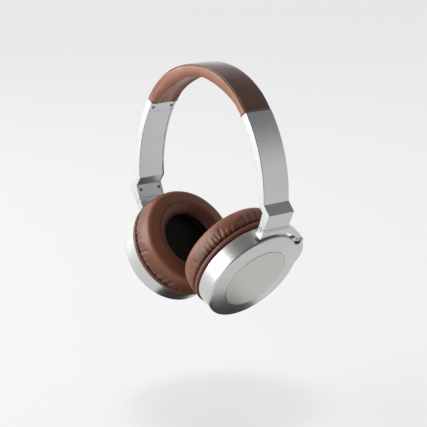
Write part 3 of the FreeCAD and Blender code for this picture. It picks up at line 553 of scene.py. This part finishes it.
@dataclass
class Upholsterer:
    """Swells a sewn leather cover by cloth simulation."""

    pressure: float = 4.0
    growth: float = 0.03
    frames: int = 20
    cap: float = 2.0
    # The cover is simulated this much larger, where the solver's default sizes suit it.
    bench_scale: float = 40.0

    def swell(self, grid: np.ndarray, closed: bool, sewn: np.ndarray) -> np.ndarray:
        """Lets the air in between the sewn lines.

        Args:
            grid: Array of rings, section points and three coordinates, in millimetres.
            closed: True where the last ring joins the first.
            sewn: Weight of each point, 1 where it's held by thread, card or metal.

        Returns:
            The swollen grid, with no point moved by more than the cap.
        """
        rings, section = grid.shape[:2]
        flat = grid.reshape(-1, 3)
        bench = make_object("bench", flat * self.bench_scale, tube_faces(rings, section, closed))
        group = bench.vertex_groups.new(name="sewn")
        for index, weight in enumerate(sewn.ravel()):
            if weight > 0:
                group.add([index], float(weight), "REPLACE")
        cloth = bench.modifiers.new("Cloth", "CLOTH")
        settings = cloth.settings
        for name, value in (("vertex_group_mass", group.name), ("use_pressure", True),
                            ("uniform_pressure_force", self.pressure),
                            ("shrink_min", -self.growth), ("shrink_max", -self.growth),
                            ("quality", 6), ("mass", 0.3), ("tension_stiffness", 40),
                            ("compression_stiffness", 40), ("shear_stiffness", 20),
                            ("bending_stiffness", 2.0)):
            setattr(settings, name, value)
        settings.effector_weights.gravity = 0
        cloth.collision_settings.use_collision = False
        scene = bpy.context.scene
        for step in range(1, self.frames + 1):
            scene.frame_set(step)
        graph = bpy.context.evaluated_depsgraph_get()
        swollen = np.empty(flat.size, np.float32)
        bench.evaluated_get(graph).data.vertices.foreach_get("co", swollen)
        moved = swollen.reshape(-1, 3) / (self.bench_scale * MM) - flat
        length = np.linalg.norm(moved, axis=1, keepdims=True)
        moved *= np.minimum(1, self.cap / np.maximum(length, 1e-9))
        scene.frame_set(1)
        bpy.data.objects.remove(bench)
        return (flat + moved).reshape(grid.shape)


def dress_nodes(finish: bpy.types.Material, *nodes: str) -> None:
    """Gives CAD nodes a material.

    Args:
        finish: The material.
        nodes: Names of the nodes.
    """
    for name in nodes:
        for slot in frame["nodes"][name].material_slots:
            slot.material = finish


def middle_of(node: str) -> Vector:
    """Middle of a CAD node's box.

    Args:
        node: Name of the node.

    Returns:
        The point, in millimetres.
    """
    low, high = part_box(node)
    return (low + high) / 2 / MM


# ---------------------------------------------------------------- finishes
# Glazed cowhide: pigmented reddish brown, whose clear top coat picks up long soft highlights.
BAND_LEATHER = Leather("glazed_cowhide_band", "8b5239", 0.42, grain=1.3, grain_depth=0.03,
                       coat=0.3)
# The same hide pressed flat and smooth, with a stronger sheen at low angles; its brown is painted
# darker than the band's, as shade on the top face.
STRIP_LEATHER = Leather("pressed_cowhide_strip", "5f3a2a", 0.4, grain=1.3, grain_depth=0.02,
                        coat=0.55)
# Soft protein leather over foam: the same brown and a little duller, with painted shade that turns
# it nearly black in its creases.
PAD_LEATHER = Leather("soft_cushion_leather", "683519", 0.45, grain=1.1, grain_depth=0.04,
                      dark="24100a", coat=0.04)
# Waxed polyester thread, a shade darker than the leather: a row of dull dashes.
THREAD = Moulded("waxed_thread", "4a2a1c", 0.6, texture=0.4, texture_depth=0.05)
# Aluminium drawn, brushed lengthwise and clear anodised: soft silver, with highlights that
# spread across the arm. The lines follow the arm's bend about this centre.
ARM_METAL = SatinMetal("brushed_anodised_aluminium", "c8c9cb", 0.3, 1.0,
                       centre=(-0.03387, 0.0, -0.08483))
# Turned steel with a dull zinc plate: small grey heads, darker than the aluminium round them.
SCREW_METAL = Moulded("turned_steel", "6a6a6e", 0.35, 1.0, texture=0.3)
# Spring steel, rolled, hardened and oiled: a darker grey with close lengthwise lines.
SPRING_METAL = SatinMetal("rolled_spring_steel", "9a9c9f", 0.35, 1.0, line=0.4)
# Glass-filled nylon from a spark-eroded mould: matt black, faintly uneven.
BLACK_NYLON = Moulded("black_nylon", "141416", 0.55)
# Machined acetal of the bearings: off-white and waxy.
ACETAL = Moulded("white_acetal", "e4e3dd", 0.42, texture=0.8)
# Nickel plating of the magnet: bright, and warmer than the aluminium.
NICKEL = Moulded("nickel_plate", "b3ada2", 0.22, 1.0)
# Drawn polyester film of the diaphragm: thin, grey and glossy.
FILM = Moulded("drawn_polyester_film", "5a5a58", 0.25, texture=2.0)
# Perforated steel with baked powder coat: black with a faint orange-peel surface.
GRILLE_COAT = Moulded("black_powder_coat", "17171a", 0.6, texture=0.5, texture_depth=0.02)
# Open black warp knit over the driver: a dark hollow with a trace of cells.
CLOTH = Knit("black_warp_knit", "0d0d0e", 0.85, mesh_size=0.9)
# Open-cell polyurethane foam: grey, matt and full of small holes.
FOAM = Knit("grey_foam", "44444a", 0.95, mesh_size=0.7)
# Extruded soft PVC jacket of the lead: black with a low shine.
JACKET = Moulded("pvc_jacket", "1a1a1c", 0.5)
# Coated white paper, lit a little from below: it fades into the room without an edge.
PAPER = MattSheet("matt_white_paper", "8c8c8c", 0.9, glow=0.62)
# Black card: it soaks up light and gives metal something dark to reflect.
BLACK_CARD = MattSheet("matt_black_card", "0c0c0c", 0.8)


# ---------------------------------------------------------------- headband
@dataclass
class Headband:
    """Padded arc: a flat strip of hide on top, and hide wrapped over foam underneath."""

    radius: float = 69.7
    thickness: float = 7.8
    width: float = 26.0
    half_angle: float = 55.9  # degrees from the apex to the end plates
    end_plate: float = 0.3
    strip_thickness: float = 0.6
    strip_width: float = 25.2
    strip_crown: float = 0.3
    rise: float = 0.8  # how far the stuffing lifts the strip
    puff: float = 2.2  # how far it swells the underside
    puff_place: float = 25.0  # degrees from the apex to the fullest place
    crease: float = 6.4  # from the middle to the crease beside each roll
    crease_depth: float = 0.7
    roll_proud: float = 0.6
    end_ease: float = 14.0  # length over which the end plates still hold the leather
    pucker: float = 0.07
    rings: int = 150
    section: int = 72
    body: str = "headband"
    upholsterer: Upholsterer = field(default_factory=lambda: Upholsterer(cap=0.9, growth=0.03))

    @property
    def end_angle(self) -> float:
        """Angle in radians from the apex to the end of the leather."""
        return math.radians(self.half_angle) - self.end_plate / self.radius

    def bend(self, depth: np.ndarray, across: np.ndarray, angles: np.ndarray) -> np.ndarray:
        """Sweeps a section along the arc.

        Args:
            depth: Depth of each section point under the outer face.
            across: Its place across the band.
            angles: Angle of each ring from the apex, in radians.

        Returns:
            Grid of rings, section points and coordinates.
        """
        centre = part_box("headband_top_leather")[1].z / MM - self.radius
        share = np.abs(angles[:, None]) / self.end_angle
        rise = self.rise * (1 - share ** 4)
        place = self.puff_place / self.half_angle
        puff = self.puff * (1 - 0.6 * bell(share, 0.6 * place)) * (1 - share ** 4)
        reach = self.radius + rise - depth * (1 + (puff + rise) / self.thickness)
        turn = angles[:, None]
        return np.stack([reach * np.sin(turn), np.broadcast_to(across, (len(angles), len(across))),
                         centre + reach * np.cos(turn)], axis=2)

    def build_pad(self) -> bpy.types.Object:
        """Wrapped and padded underside with its two rolls.

        Returns:
            The piece.
        """
        half = self.width / 2
        top = self.strip_thickness
        face = self.thickness
        roll = self.roll_proud
        # Depth and place across, from the middle of the top round the roll to the crease.
        side = [(top + 0.1, 0.0), (top + 0.1, half * 0.55), (top + 0.1, half - 1.2),
                (top + 0.7, half - 0.1), (face * 0.45, half + 0.35), (face - 1.6, half - 0.3),
                (face + roll, half - 2.9), (face + 0.1, self.crease + 1.4),
                (face - self.crease_depth, self.crease - 0.4),
                (face - self.crease_depth * 0.6, self.crease - 2.0), (face - 0.2, 1.8)]
        corners = side + [(face - 0.15, 0.0)] + [(d, -y) for d, y in side[:0:-1]]
        loop = smooth_loop(corners, self.section)
        angles = np.linspace(-self.end_angle, self.end_angle, self.rings)
        grid = self.bend(loop[:, 0], loop[:, 1], angles)
        away = np.abs(np.abs(loop[:, 1]) - self.crease)
        under = loop[:, 0] > face * 0.7
        crease = bell(away, 0.5) * under
        held = np.clip((loop[:, 0] < top + 0.5) + (crease > 0.5), 0, 1)
        sewn = np.tile(held, (self.rings, 1))
        sewn[:2] = 1
        sewn[-2:] = 1
        swollen = self.upholsterer.swell(grid, False, sewn.astype(float))
        from_end = (self.end_angle - np.abs(angles)) * self.radius
        ease = np.clip(from_end / self.end_ease, 0, 1)[:, None, None] ** 0.7
        grid = grid + (swollen - grid) * ease
        out = normals_of(grid, False)
        reach = angles[:, None] * self.radius
        lane = loop[None, :, 1]
        ripple = (np.sin(reach / 3.1 + 1.3 * np.sin(reach / 11.0) + lane * 0.5)
                  + 0.6 * np.sin(reach / 1.9 - lane * 0.9 + 2.0 * np.sin(reach / 17.0)))
        puckers = self.pucker * ripple * bell(away, 2.4) * under
        grid = grid + out * puckers[..., None]
        # Painted shade beside each crease of the underside and along the line just under the
        # strip's edge.
        painted_shade = np.maximum(0.2 * bell(away, 1.4) * under, 0.35 * bell(loop[:, 0] - top - 0.3, 0.3))
        # Painted highlight along the middle of each side face of the roll.
        painted_highlight = 0.35 * bell(loop[:, 0] - face * 0.45, 2.0)
        pad = make_object("headband_pad", grid.reshape(-1, 3),
                          tube_faces(self.rings, self.section, False),
                          {"painted_shade": np.tile(painted_shade, (self.rings, 1)),
                           "painted_highlight": np.tile(painted_highlight, (self.rings, 1))})
        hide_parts("headband_wrap_leather")
        return pad

    def build_strip(self) -> bpy.types.Object:
        """Flat strip of hide with skived, burnished edges, and painted shade along them.

        Returns:
            The piece.
        """
        half = self.strip_width / 2
        thick = self.strip_thickness
        edge = 0.35
        # Depth and place across, from the middle of the outer face round the edge.
        side = [(-self.strip_crown, 0.0), (-self.strip_crown * 0.8, half * 0.5),
                (0.0, half - 1.4), (0.08, half - edge), (thick * 0.45, half),
                (thick - 0.05, half - edge * 0.6), (thick + 0.2, half - 1.4),
                (thick + 0.25, half * 0.5)]
        corners = side + [(thick + 0.25, 0.0)] + [(d, -y) for d, y in side[:0:-1]]
        loop = smooth_loop(corners, self.section)
        angles = np.linspace(-self.end_angle, self.end_angle, self.rings)
        grid = self.bend(loop[:, 0], loop[:, 1], angles)
        reach = angles[:, None] * self.radius
        lane = loop[None, :, 1]
        wave = 0.04 * np.sin(reach / 9.0 + lane * 0.12) + 0.03 * np.sin(reach / 5.3 - lane * 0.2)
        grid = grid + normals_of(grid, False) * (wave * (loop[None, :, 0] < thick / 2))[..., None]
        # Painted shade along both edges of the strip, where it meets the wrap.
        edge_shade = 0.35 * bell(np.abs(lane) - half, 0.7)
        strip = make_object("headband_strip", grid.reshape(-1, 3),
                            tube_faces(self.rings, self.section, False),
                            {"painted_shade": np.tile(edge_shade, (self.rings, 1))})
        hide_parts("headband_top_leather")
        return strip

    def build(self) -> None:
        """Makes the leather pieces and dresses the CAD nodes of the band."""
        for piece, leather in ((self.build_pad(), BAND_LEATHER),
                               (self.build_strip(), STRIP_LEATHER)):
            piece.data.materials.append(leather.material())
            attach(piece, self.body)
            LOG.info("built %s", piece.name)
        dress_nodes(FOAM.material(), "headband_foam")
        dress_nodes(BLACK_NYLON.material(), "headband_former", "headband_end_caps")
        dress_nodes(SPRING_METAL.material(), "headband_spring")
        dress_nodes(JACKET.material(), "crossover_lead")


# ---------------------------------------------------------------- arms and yokes
@dataclass
class Arm:
    """One sliding arm with its covers, and the yoke under it."""

    side: Side

    def build(self) -> None:
        """Dresses the CAD nodes of the arm and the yoke."""
        for finish, names in (
                (ARM_METAL, ("arm_shell", "arm_cover", "guide_plate", "knee_cover", "yoke")),
                (SCREW_METAL, ("guide_screws", "knee_screws", "swivel_pin", "cross_pin",
                               "tilt_axle")),
                (ACETAL, ("slider_guide", "swivel_bush", "swivel_washer"))):
            dress_nodes(finish.material(), *(self.side.node(name) for name in names))
        LOG.info("dressed the %s arm", self.side.name.lower())


# ---------------------------------------------------------------- cups
@dataclass
class CupFrame:
    """Axes of one cup: X out of its face, Z up along the face."""

    side: Side
    disc_middle: float = 0.575  # from the plane of the face's edge out to the disc's middle

    @property
    def axis(self) -> Vector:
        """Unit vector out of the face."""
        inner = middle_of(self.side.node("baffle_cloth"))
        return (middle_of(self.side.node("face_disc")) - inner).normalized()

    @property
    def centre(self) -> Vector:
        """Middle of the outer face, in millimetres."""
        return middle_of(self.side.node("face_disc")) - self.axis * self.disc_middle

    def place(self, grid: np.ndarray) -> np.ndarray:
        """Moves points from the cup's own axes to the headphones' axes.

        Args:
            grid: Array whose last axis holds x, y and z.

        Returns:
            The same array in the frame of the whole object.
        """
        out = self.axis
        across = Vector((0.0, float(self.side.value), 0.0))
        up = out.cross(across)
        turn = np.array([out, across, up])
        return grid @ turn + np.array(self.centre)


@dataclass
class Cushion:
    """Ear cushion: a foam ring in soft leather, gathered into a stitched skirt."""

    back: float = -15.8  # its back face, from the plane of the cup's face
    depth: float = 23.4
    skirt: float = 4.0
    skirt_radius: float = 42.3
    seam_radius: float = 40.9
    wall_radius: float = 42.8
    crest_radius: float = 31.0
    mouth_radius: float = 22.0
    lip: float = 6.5
    rings: int = 440
    section: int = 112
    bench_rings: int = 176
    bench_section: int = 72
    pleats: int = 70
    pleat_stray: float = 0.45  # how far a gather strays from its even place, in pitches
    pleat_length: tuple[float, float] = (5.0, 9.0)
    pleat_depth: tuple[float, float] = (0.6, 1.1)
    pleat_width: tuple[float, float] = (0.5, 0.9)
    pleat_slant: tuple[float, float] = (-0.05, 0.4)
    stitch_pitch: float = 3.0
    stitch_length: float = 2.0
    stitch_radius: float = 0.26
    seed: int = 11
    upholsterer: Upholsterer = field(
        default_factory=lambda: Upholsterer(pressure=1.6, cap=0.7, growth=0.035))

    @property
    def seam(self) -> float:
        """Place of the stitched seam along the cup's axis."""
        return self.back - self.skirt

    @property
    def crest(self) -> float:
        """Place of the face that meets the head, along the cup's axis."""
        return self.back - self.depth

    def profile(self, count: int) -> np.ndarray:
        """Closed section of the ring.

        Args:
            count: Number of points wanted.

        Returns:
            Rows of place along the axis and radius.
        """
        crest = self.crest
        # Place along the axis and radius: back, skirt, seam, wall, shoulder, crest, mouth, inside.
        corners = [(self.back, self.crest_radius + 3.0), (self.back, self.skirt_radius - 0.8),
                   (self.back - 0.7, self.skirt_radius + 0.05),
                   (self.back - 2.0, self.skirt_radius + 0.25),
                   (self.seam + 0.7, self.skirt_radius - 0.35),
                   (self.seam, self.seam_radius),
                   (self.seam - 0.9, self.seam_radius + 0.9),
                   (self.seam - 3.2, self.wall_radius - 0.1),
                   (self.seam - 6.6, self.wall_radius),
                   (crest + 8.0, self.wall_radius - 0.6),
                   (crest + 4.6, self.wall_radius - 1.5),
                   (crest + 2.9, self.wall_radius - 2.6),
                   (crest + 1.9, self.wall_radius - 4.3),
                   (crest + 1.4, self.wall_radius - 6.6),
                   (crest + 0.7, self.crest_radius + 1.8),
                   (crest + 0.1, self.crest_radius - 1.8),
                   (crest + 1.4, self.crest_radius - 4.2),
                   (crest + 4.2, self.mouth_radius + 1.7),
                   (crest + self.lip + 1.0, self.mouth_radius - 0.2),
                   (crest + self.lip + 5.0, self.mouth_radius + 1.2),
                   (self.back - 2.6, self.mouth_radius + 2.2),
                   (self.back - 2.5, self.mouth_radius + 5.5),
                   (self.back - 0.3, self.mouth_radius + 7.5)]
        return smooth_loop(corners, count)

    def held(self, loop: np.ndarray) -> np.ndarray:
        """Finds where thread, card or foam holds the leather.

        Args:
            loop: Rows of place along the axis and radius.

        Returns:
            Weight of each section point, 1 where it's held.
        """
        at_seam = bell(loop[:, 0] - self.seam, 0.9) * (loop[:, 1] > self.crest_radius)
        at_back = loop[:, 0] > self.back - 0.9
        inside = (loop[:, 1] < self.mouth_radius + 8) & (loop[:, 0] > self.back - 9.0)
        return ((at_seam > 0.5) | at_back | inside).astype(float)

    def ring(self, loop: np.ndarray, rings: int) -> np.ndarray:
        """Turns a section round the cup's axis.

        Args:
            loop: Rows of place along the axis and radius.
            rings: Number of rings.

        Returns:
            Grid of rings, section points and coordinates.
        """
        turn = np.linspace(0, 2 * math.pi, rings, endpoint=False)[:, None]
        radius = loop[None, :, 1]
        return np.stack([np.broadcast_to(loop[None, :, 0], (rings, len(loop))),
                         radius * np.sin(turn), radius * np.cos(turn)], axis=2)

    def shape(self) -> tuple[np.ndarray, np.ndarray, np.ndarray]:
        """Swells and puckers the ring.

        Returns:
            The grid in the cup's own axes, and the painted shade and painted highlight of its
            points.
        """
        loop = self.profile(self.section)
        grid = self.ring(loop, self.rings)
        bench = self.profile(self.bench_section)
        flat = self.ring(bench, self.bench_rings)
        held = self.held(bench)
        swollen = self.upholsterer.swell(flat, True, np.tile(held, (self.bench_rings, 1)))
        grid = grid + finer(swollen - flat, self.rings, self.section)
        turn = np.linspace(0, 2 * math.pi, self.rings, endpoint=False)[:, None]
        outer = loop[:, 1] > self.crest_radius
        step = loop[:, 0] - self.seam
        out = normals_of(grid, True)
        reach = np.where(outer & (step < 0.4), -step, 1e3)[None, :]
        creases = self.creases(turn, reach)
        groove = bell(step, 0.42) * outer
        grid = grid - out * (creases + 0.45 * groove[None, :])[..., None]
        down = loop[:, 0] - self.crest - 3.5
        # Painted shadow down the inside of the mouth.
        mouth_shade = np.clip(down / 5.0, 0, 0.9) * (loop[:, 1] < self.mouth_radius + 5.0)
        # Painted shade: darkest in the deepest creases and along the seam's groove, with the
        # mouth's painted shadow.
        painted_shade = np.clip(0.9 * creases ** 2.5 + 0.8 * bell(step, 0.5)[None, :] * outer
                       + mouth_shade[None, :], 0, 1)
        # Painted highlight round the shoulder of the face, kept out of the creases.
        crown = bell(down, 5.0) * outer
        painted_highlight = np.clip(0.35 * crown[None, :] - creases, 0, 1)
        return grid, painted_shade, painted_highlight

    def creases(self, turn: np.ndarray, reach: np.ndarray) -> np.ndarray:
        """Depth of the gathers that run from the seam up the wall.

        Args:
            turn: Angle of each ring, in radians, as a column.
            reach: Distance of each section point from the seam, as a row.

        Returns:
            Depth in millimetres, ring by section point.
        """
        dice = random.Random(self.seed)
        total = np.zeros((turn.shape[0], reach.shape[1]))
        for k in range(self.pleats):
            stray = dice.uniform(-self.pleat_stray, self.pleat_stray)
            place = 2 * math.pi * (k + stray) / self.pleats
            crowd = 0.5 + 0.5 * math.sin(3 * place + 0.7) * math.sin(5 * place + 2.1)
            length = dice.uniform(*self.pleat_length) + 5.0 * crowd * dice.random()
            depth = dice.uniform(*self.pleat_depth) + 0.4 * crowd * dice.random()
            width = dice.uniform(*self.pleat_width)
            slant = dice.uniform(*self.pleat_slant)
            off = wrap(turn - place) * self.wall_radius - slant * reach
            taper = np.clip(1 - reach / length, 0, 1) ** 0.7 * (reach < length)
            total += depth * bell(off, width * (1 + 0.09 * np.minimum(reach, 12))) * taper
        return total

    def stitches(self) -> tuple[np.ndarray, list[tuple[int, ...]]]:
        """Thread that shows in the groove of the seam.

        Returns:
            Points in the cup's own axes, and faces.
        """
        count = int(2 * math.pi * self.seam_radius / self.stitch_pitch)
        steps, sides = 7, 6
        half = self.stitch_length / 2 / self.seam_radius
        points, faces = [], []
        for k in range(count):
            start = len(points)
            for i in range(steps):
                share = 2 * i / (steps - 1) - 1
                angle = 2 * math.pi * k / count + share * half
                thick = self.stitch_radius * math.sqrt(max(0.05, 1 - share ** 4))
                rise = self.seam_radius - 0.12 - 0.5 * share ** 4
                for j in range(sides):
                    turn = 2 * math.pi * j / sides
                    reach = rise + thick * math.cos(turn)
                    points.append((self.seam + 0.05 + thick * math.sin(turn),
                                   reach * math.sin(angle), reach * math.cos(angle)))
            faces += [tuple(start + n for n in face) for face in tube_faces(steps, sides, False)]
        return np.array(points), faces


@dataclass
class Cup:
    """One cup: spun shell, disc, driver and cushion."""

    side: Side
    roll: float
    frame: CupFrame = field(init=False)

    def __post_init__(self) -> None:
        """Works out the cup's axes."""
        self.frame = CupFrame(self.side)

    def build_cushion(self, cushion: Cushion, grid: np.ndarray, painted_shade: np.ndarray,
                      painted_highlight: np.ndarray) -> None:
        """Makes the cushion and its thread.

        Args:
            cushion: Sizes of the cushion.
            grid: Its points in the cup's own axes.
            painted_shade: Painted shade of each point, in its crease, the seam and the mouth.
            painted_highlight: Painted highlight of each point.
        """
        shift = int(self.roll / 360 * len(grid))
        angle = 2 * math.pi * shift / len(grid)
        turn = np.array([[1, 0, 0], [0, math.cos(angle), -math.sin(angle)],
                         [0, math.sin(angle), math.cos(angle)]])
        points = self.frame.place(grid @ turn)
        body = self.side.node("cup")
        faces = tube_faces(len(grid), grid.shape[1], True)
        pad = make_object(self.side.node("cushion"), points.reshape(-1, 3), faces,
                          {"painted_shade": painted_shade, "painted_highlight": painted_highlight})
        pad.data.materials.append(PAD_LEATHER.material())
        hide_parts(self.side.node("ear_pad"))
        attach(pad, body)
        thread_points, thread_faces = cushion.stitches()
        thread = make_object(self.side.node("cushion_thread"), self.frame.place(thread_points),
                             thread_faces)
        thread.data.materials.append(THREAD.material())
        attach(thread, body)
        LOG.info("built %s and %s", pad.name, thread.name)

    def dress(self) -> None:
        """Dresses the CAD nodes of the cup."""
        centre = tuple(self.frame.centre * MM)
        axis = tuple(self.frame.axis)
        # Aluminium spun on a lathe and clear anodised: rings round the axis, too fine to show
        # singly, turn its highlights to rays.
        spun = SatinMetal(self.side.node("spun_aluminium"), "c9c9c7", 0.27, 1.0, brush=Brush.SPUN,
                          line=2.4, line_depth=0.0002, contrast=0.01,
                          centre=centre, axis=axis).material()
        # Turned finer than the shell, and a touch warmer.
        disc = SatinMetal(self.side.node("turned_disc"), "c4c2bf", 0.28, 1.0, brush=Brush.SPUN,
                          line=1.3, line_depth=0.0002, smear=30.0, contrast=0.015,
                          centre=centre, axis=axis).material()
        black = BLACK_NYLON.material()
        for finish, names in ((spun, ("cup_shell",)), (disc, ("face_disc",)),
                              (ACETAL.material(), ("tilt_bush",)),
                              (black, ("baffle", "driver_frame", "pad_ring")),
                              (SCREW_METAL.material(), ("baffle_screws",)),
                              (NICKEL.material(), ("driver_magnet",)),
                              (FILM.material(), ("diaphragm",)),
                              (GRILLE_COAT.material(), ("driver_grille",)),
                              (CLOTH.material(), ("baffle_cloth",))):
            dress_nodes(finish, *(self.side.node(name) for name in names))
        if self.side is Side.LEFT:
            dress_nodes(black, "jack_socket")
        LOG.info("dressed the %s cup", self.side.name.lower())


# ---------------------------------------------------------------- studio
@dataclass(frozen=True)
class SoftBox:
    """Square soft box, out of the camera's sight. Sizes are in millimetres, power in watts."""

    name: str
    spot: Place
    size: float
    power: float
    aim: Place = (0.0, 0.0, -100.0)

    def build(self) -> None:
        """Makes the light."""
        light = bpy.data.lights.new(self.name, "AREA")
        light.shape = "SQUARE"
        light.size = self.size * MM
        light.energy = self.power
        holder = bpy.data.objects.new(self.name, light)
        holder.location = Vector(self.spot) * MM
        way = Vector(self.aim) - Vector(self.spot)
        holder.rotation_euler = way.to_track_quat("-Z", "Y").to_euler()
        holder.visible_camera = False
        bpy.context.scene.collection.objects.link(holder)
        LOG.info("built %s", self.name)


@dataclass
class Studio:
    """Pale floor, soft light and the camera."""

    azimuth: float = 48.58
    elevation: float = 13.14
    roll: float = 0.05
    hang_tilt: float = 1.07
    distance: float = 1095.5
    lens: float = 120.07
    shift_right: float = 4.88
    shift_up: float = -115.09
    floor_drop: float = 285.0
    floor_reach: float = 9000.0
    horizon: float = 0.85
    ceiling: float = 0.25
    window: Place = (-0.93, -0.35, 0.1)
    window_glow: float = 0.6
    dark_side: Place = (0.75, -0.6, 0.28)
    dark_share: float = 0.45
    flag_radius: float = 79.0
    flag_spot: tuple[float, float] = (-21.0, 24.0)
    flag_drop: float = 268.0
    flag_corners: int = 48
    soft_boxes: tuple[SoftBox, ...] = (
        SoftBox("key_soft_box", (-1350.0, -1650.0, 760.0), 1800.0, 58.0),
        SoftBox("top_soft_box", (-900.0, 500.0, 1900.0), 1200.0, 6.0))

    @property
    def apex(self) -> float:
        """Height of the headband's top, in metres."""
        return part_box("headband_top_leather")[1].z

    def build_camera(self) -> None:
        """Looks at the headphones from the front left of the wearer's left cup."""
        azimuth, elevation = math.radians(self.azimuth), math.radians(self.elevation)
        back = Vector((math.sin(azimuth) * math.cos(elevation),
                       -math.cos(azimuth) * math.cos(elevation), math.sin(elevation)))
        flat_right = Vector((math.cos(azimuth), math.sin(azimuth), 0.0))
        level_up = back.cross(flat_right)
        turn = math.radians(self.roll)
        right = flat_right * math.cos(turn) + level_up * math.sin(turn)
        up = level_up * math.cos(turn) - flat_right * math.sin(turn)
        spot = (back * self.distance + right * self.shift_right + up * self.shift_up) * MM
        placed = Matrix((right, up, back)).transposed().to_4x4()
        placed.translation = spot
        camera = bpy.data.cameras.new("camera")
        camera.lens = self.lens
        camera.clip_start = 0.01
        camera.clip_end = 20.0
        holder = bpy.data.objects.new("camera", camera)
        holder.matrix_world = (Matrix.Translation((0, 0, self.apex))
                               @ Matrix.Rotation(math.radians(self.hang_tilt), 4, "Y") @ placed)
        bpy.context.scene.collection.objects.link(holder)
        bpy.context.scene.camera = holder

    def build_sheet(self, name: str, rim: list[tuple[float, float]], drop: float,
                    finish: MattSheet) -> bpy.types.Object:
        """Makes a level sheet below the headphones.

        Args:
            name: Name of the sheet.
            rim: Its corners, as X and Y in millimetres.
            drop: How far it lies below the headband's top, in millimetres.
            finish: Its finish.

        Returns:
            The sheet.
        """
        low = self.apex / MM - drop
        sheet = make_object(name, np.array([(x, y, low) for x, y in rim]),
                            [tuple(range(len(rim)))])
        sheet.data.materials.append(finish.material())
        return sheet

    def build_floor(self) -> None:
        """Wide pale floor below the hanging headphones."""
        reach = self.floor_reach
        rim = [(-reach, -reach), (reach, -reach), (reach, reach), (-reach, reach)]
        self.build_sheet("floor", rim, self.floor_drop, PAPER)

    def build_flag(self) -> None:
        """Round black card low under the cups, out of the camera's sight.

        It gives the metal undersides something dark to reflect.
        """
        turns = [2 * math.pi * k / self.flag_corners for k in range(self.flag_corners)]
        rim = [(self.flag_spot[0] + self.flag_radius * math.cos(t),
                self.flag_spot[1] + self.flag_radius * math.sin(t)) for t in turns]
        flag = self.build_sheet("black_flag", rim, self.flag_drop, BLACK_CARD)
        flag.visible_camera = False
        flag.visible_shadow = False

    def build_world(self) -> None:
        """Room that is white round the horizon, dim overhead and dark on the right."""
        world = bpy.data.worlds.new("room")
        world.use_nodes = True
        bpy.context.scene.world = world
        tree = world.node_tree
        back = tree.nodes["Background"]
        way = add_node(tree, "ShaderNodeTexCoord").outputs["Generated"]
        height = add_node(tree, "ShaderNodeSeparateXYZ", {"Vector": way}).outputs["Z"]
        shade = add_node(tree, "ShaderNodeMapRange",
                         {"Value": height, "From Min": 0.1, "From Max": 0.6,
                          "To Min": self.horizon, "To Max": self.ceiling},
                         interpolation_type="SMOOTHSTEP")
        towards = add_node(tree, "ShaderNodeVectorMath",
                           {0: way, 1: Vector(self.window).normalized()},
                           operation="DOT_PRODUCT").outputs["Value"]
        window = add_node(tree, "ShaderNodeMapRange",
                          {"Value": towards, "From Min": 0.0, "From Max": 0.6,
                           "To Max": self.window_glow}, interpolation_type="SMOOTHSTEP")
        both = add_node(tree, "ShaderNodeMath",
                        {0: shade.outputs["Result"], 1: window.outputs["Result"]},
                        operation="ADD")
        aside = add_node(tree, "ShaderNodeVectorMath",
                         {0: way, 1: Vector(self.dark_side).normalized()},
                         operation="DOT_PRODUCT").outputs["Value"]
        curtain = add_node(tree, "ShaderNodeMapRange",
                           {"Value": aside, "From Min": 0.2, "From Max": 0.8, "To Min": 1.0,
                            "To Max": self.dark_share}, interpolation_type="SMOOTHSTEP")
        light = add_node(tree, "ShaderNodeMath",
                         {0: both.outputs["Value"], 1: curtain.outputs["Result"]},
                         operation="MULTIPLY")
        tree.links.new(light.outputs["Value"], back.inputs["Strength"])
        back.inputs["Color"].default_value = linear("ffffff")

    def build(self) -> None:
        """Makes the whole studio."""
        bpy.context.scene.view_settings.view_transform = "Standard"
        self.build_camera()
        self.build_floor()
        self.build_flag()
        self.build_world()
        for box in self.soft_boxes:
            box.build()
        LOG.info("built the studio")


def main() -> None:
    """Builds every sub-assembly."""
    logging.basicConfig(level=logging.INFO, format="%(message)s")
    Studio().build()
    Headband().build()
    cushion = Cushion()
    grid, painted_shade, painted_highlight = cushion.shape()
    for side, roll in ((Side.LEFT, 0.0), (Side.RIGHT, 137.0)):
        Arm(side).build()
        cup = Cup(side, roll)
        cup.build_cushion(cushion, grid, painted_shade, painted_highlight)
        cup.dress()


if __name__ == "__main__":
    main()
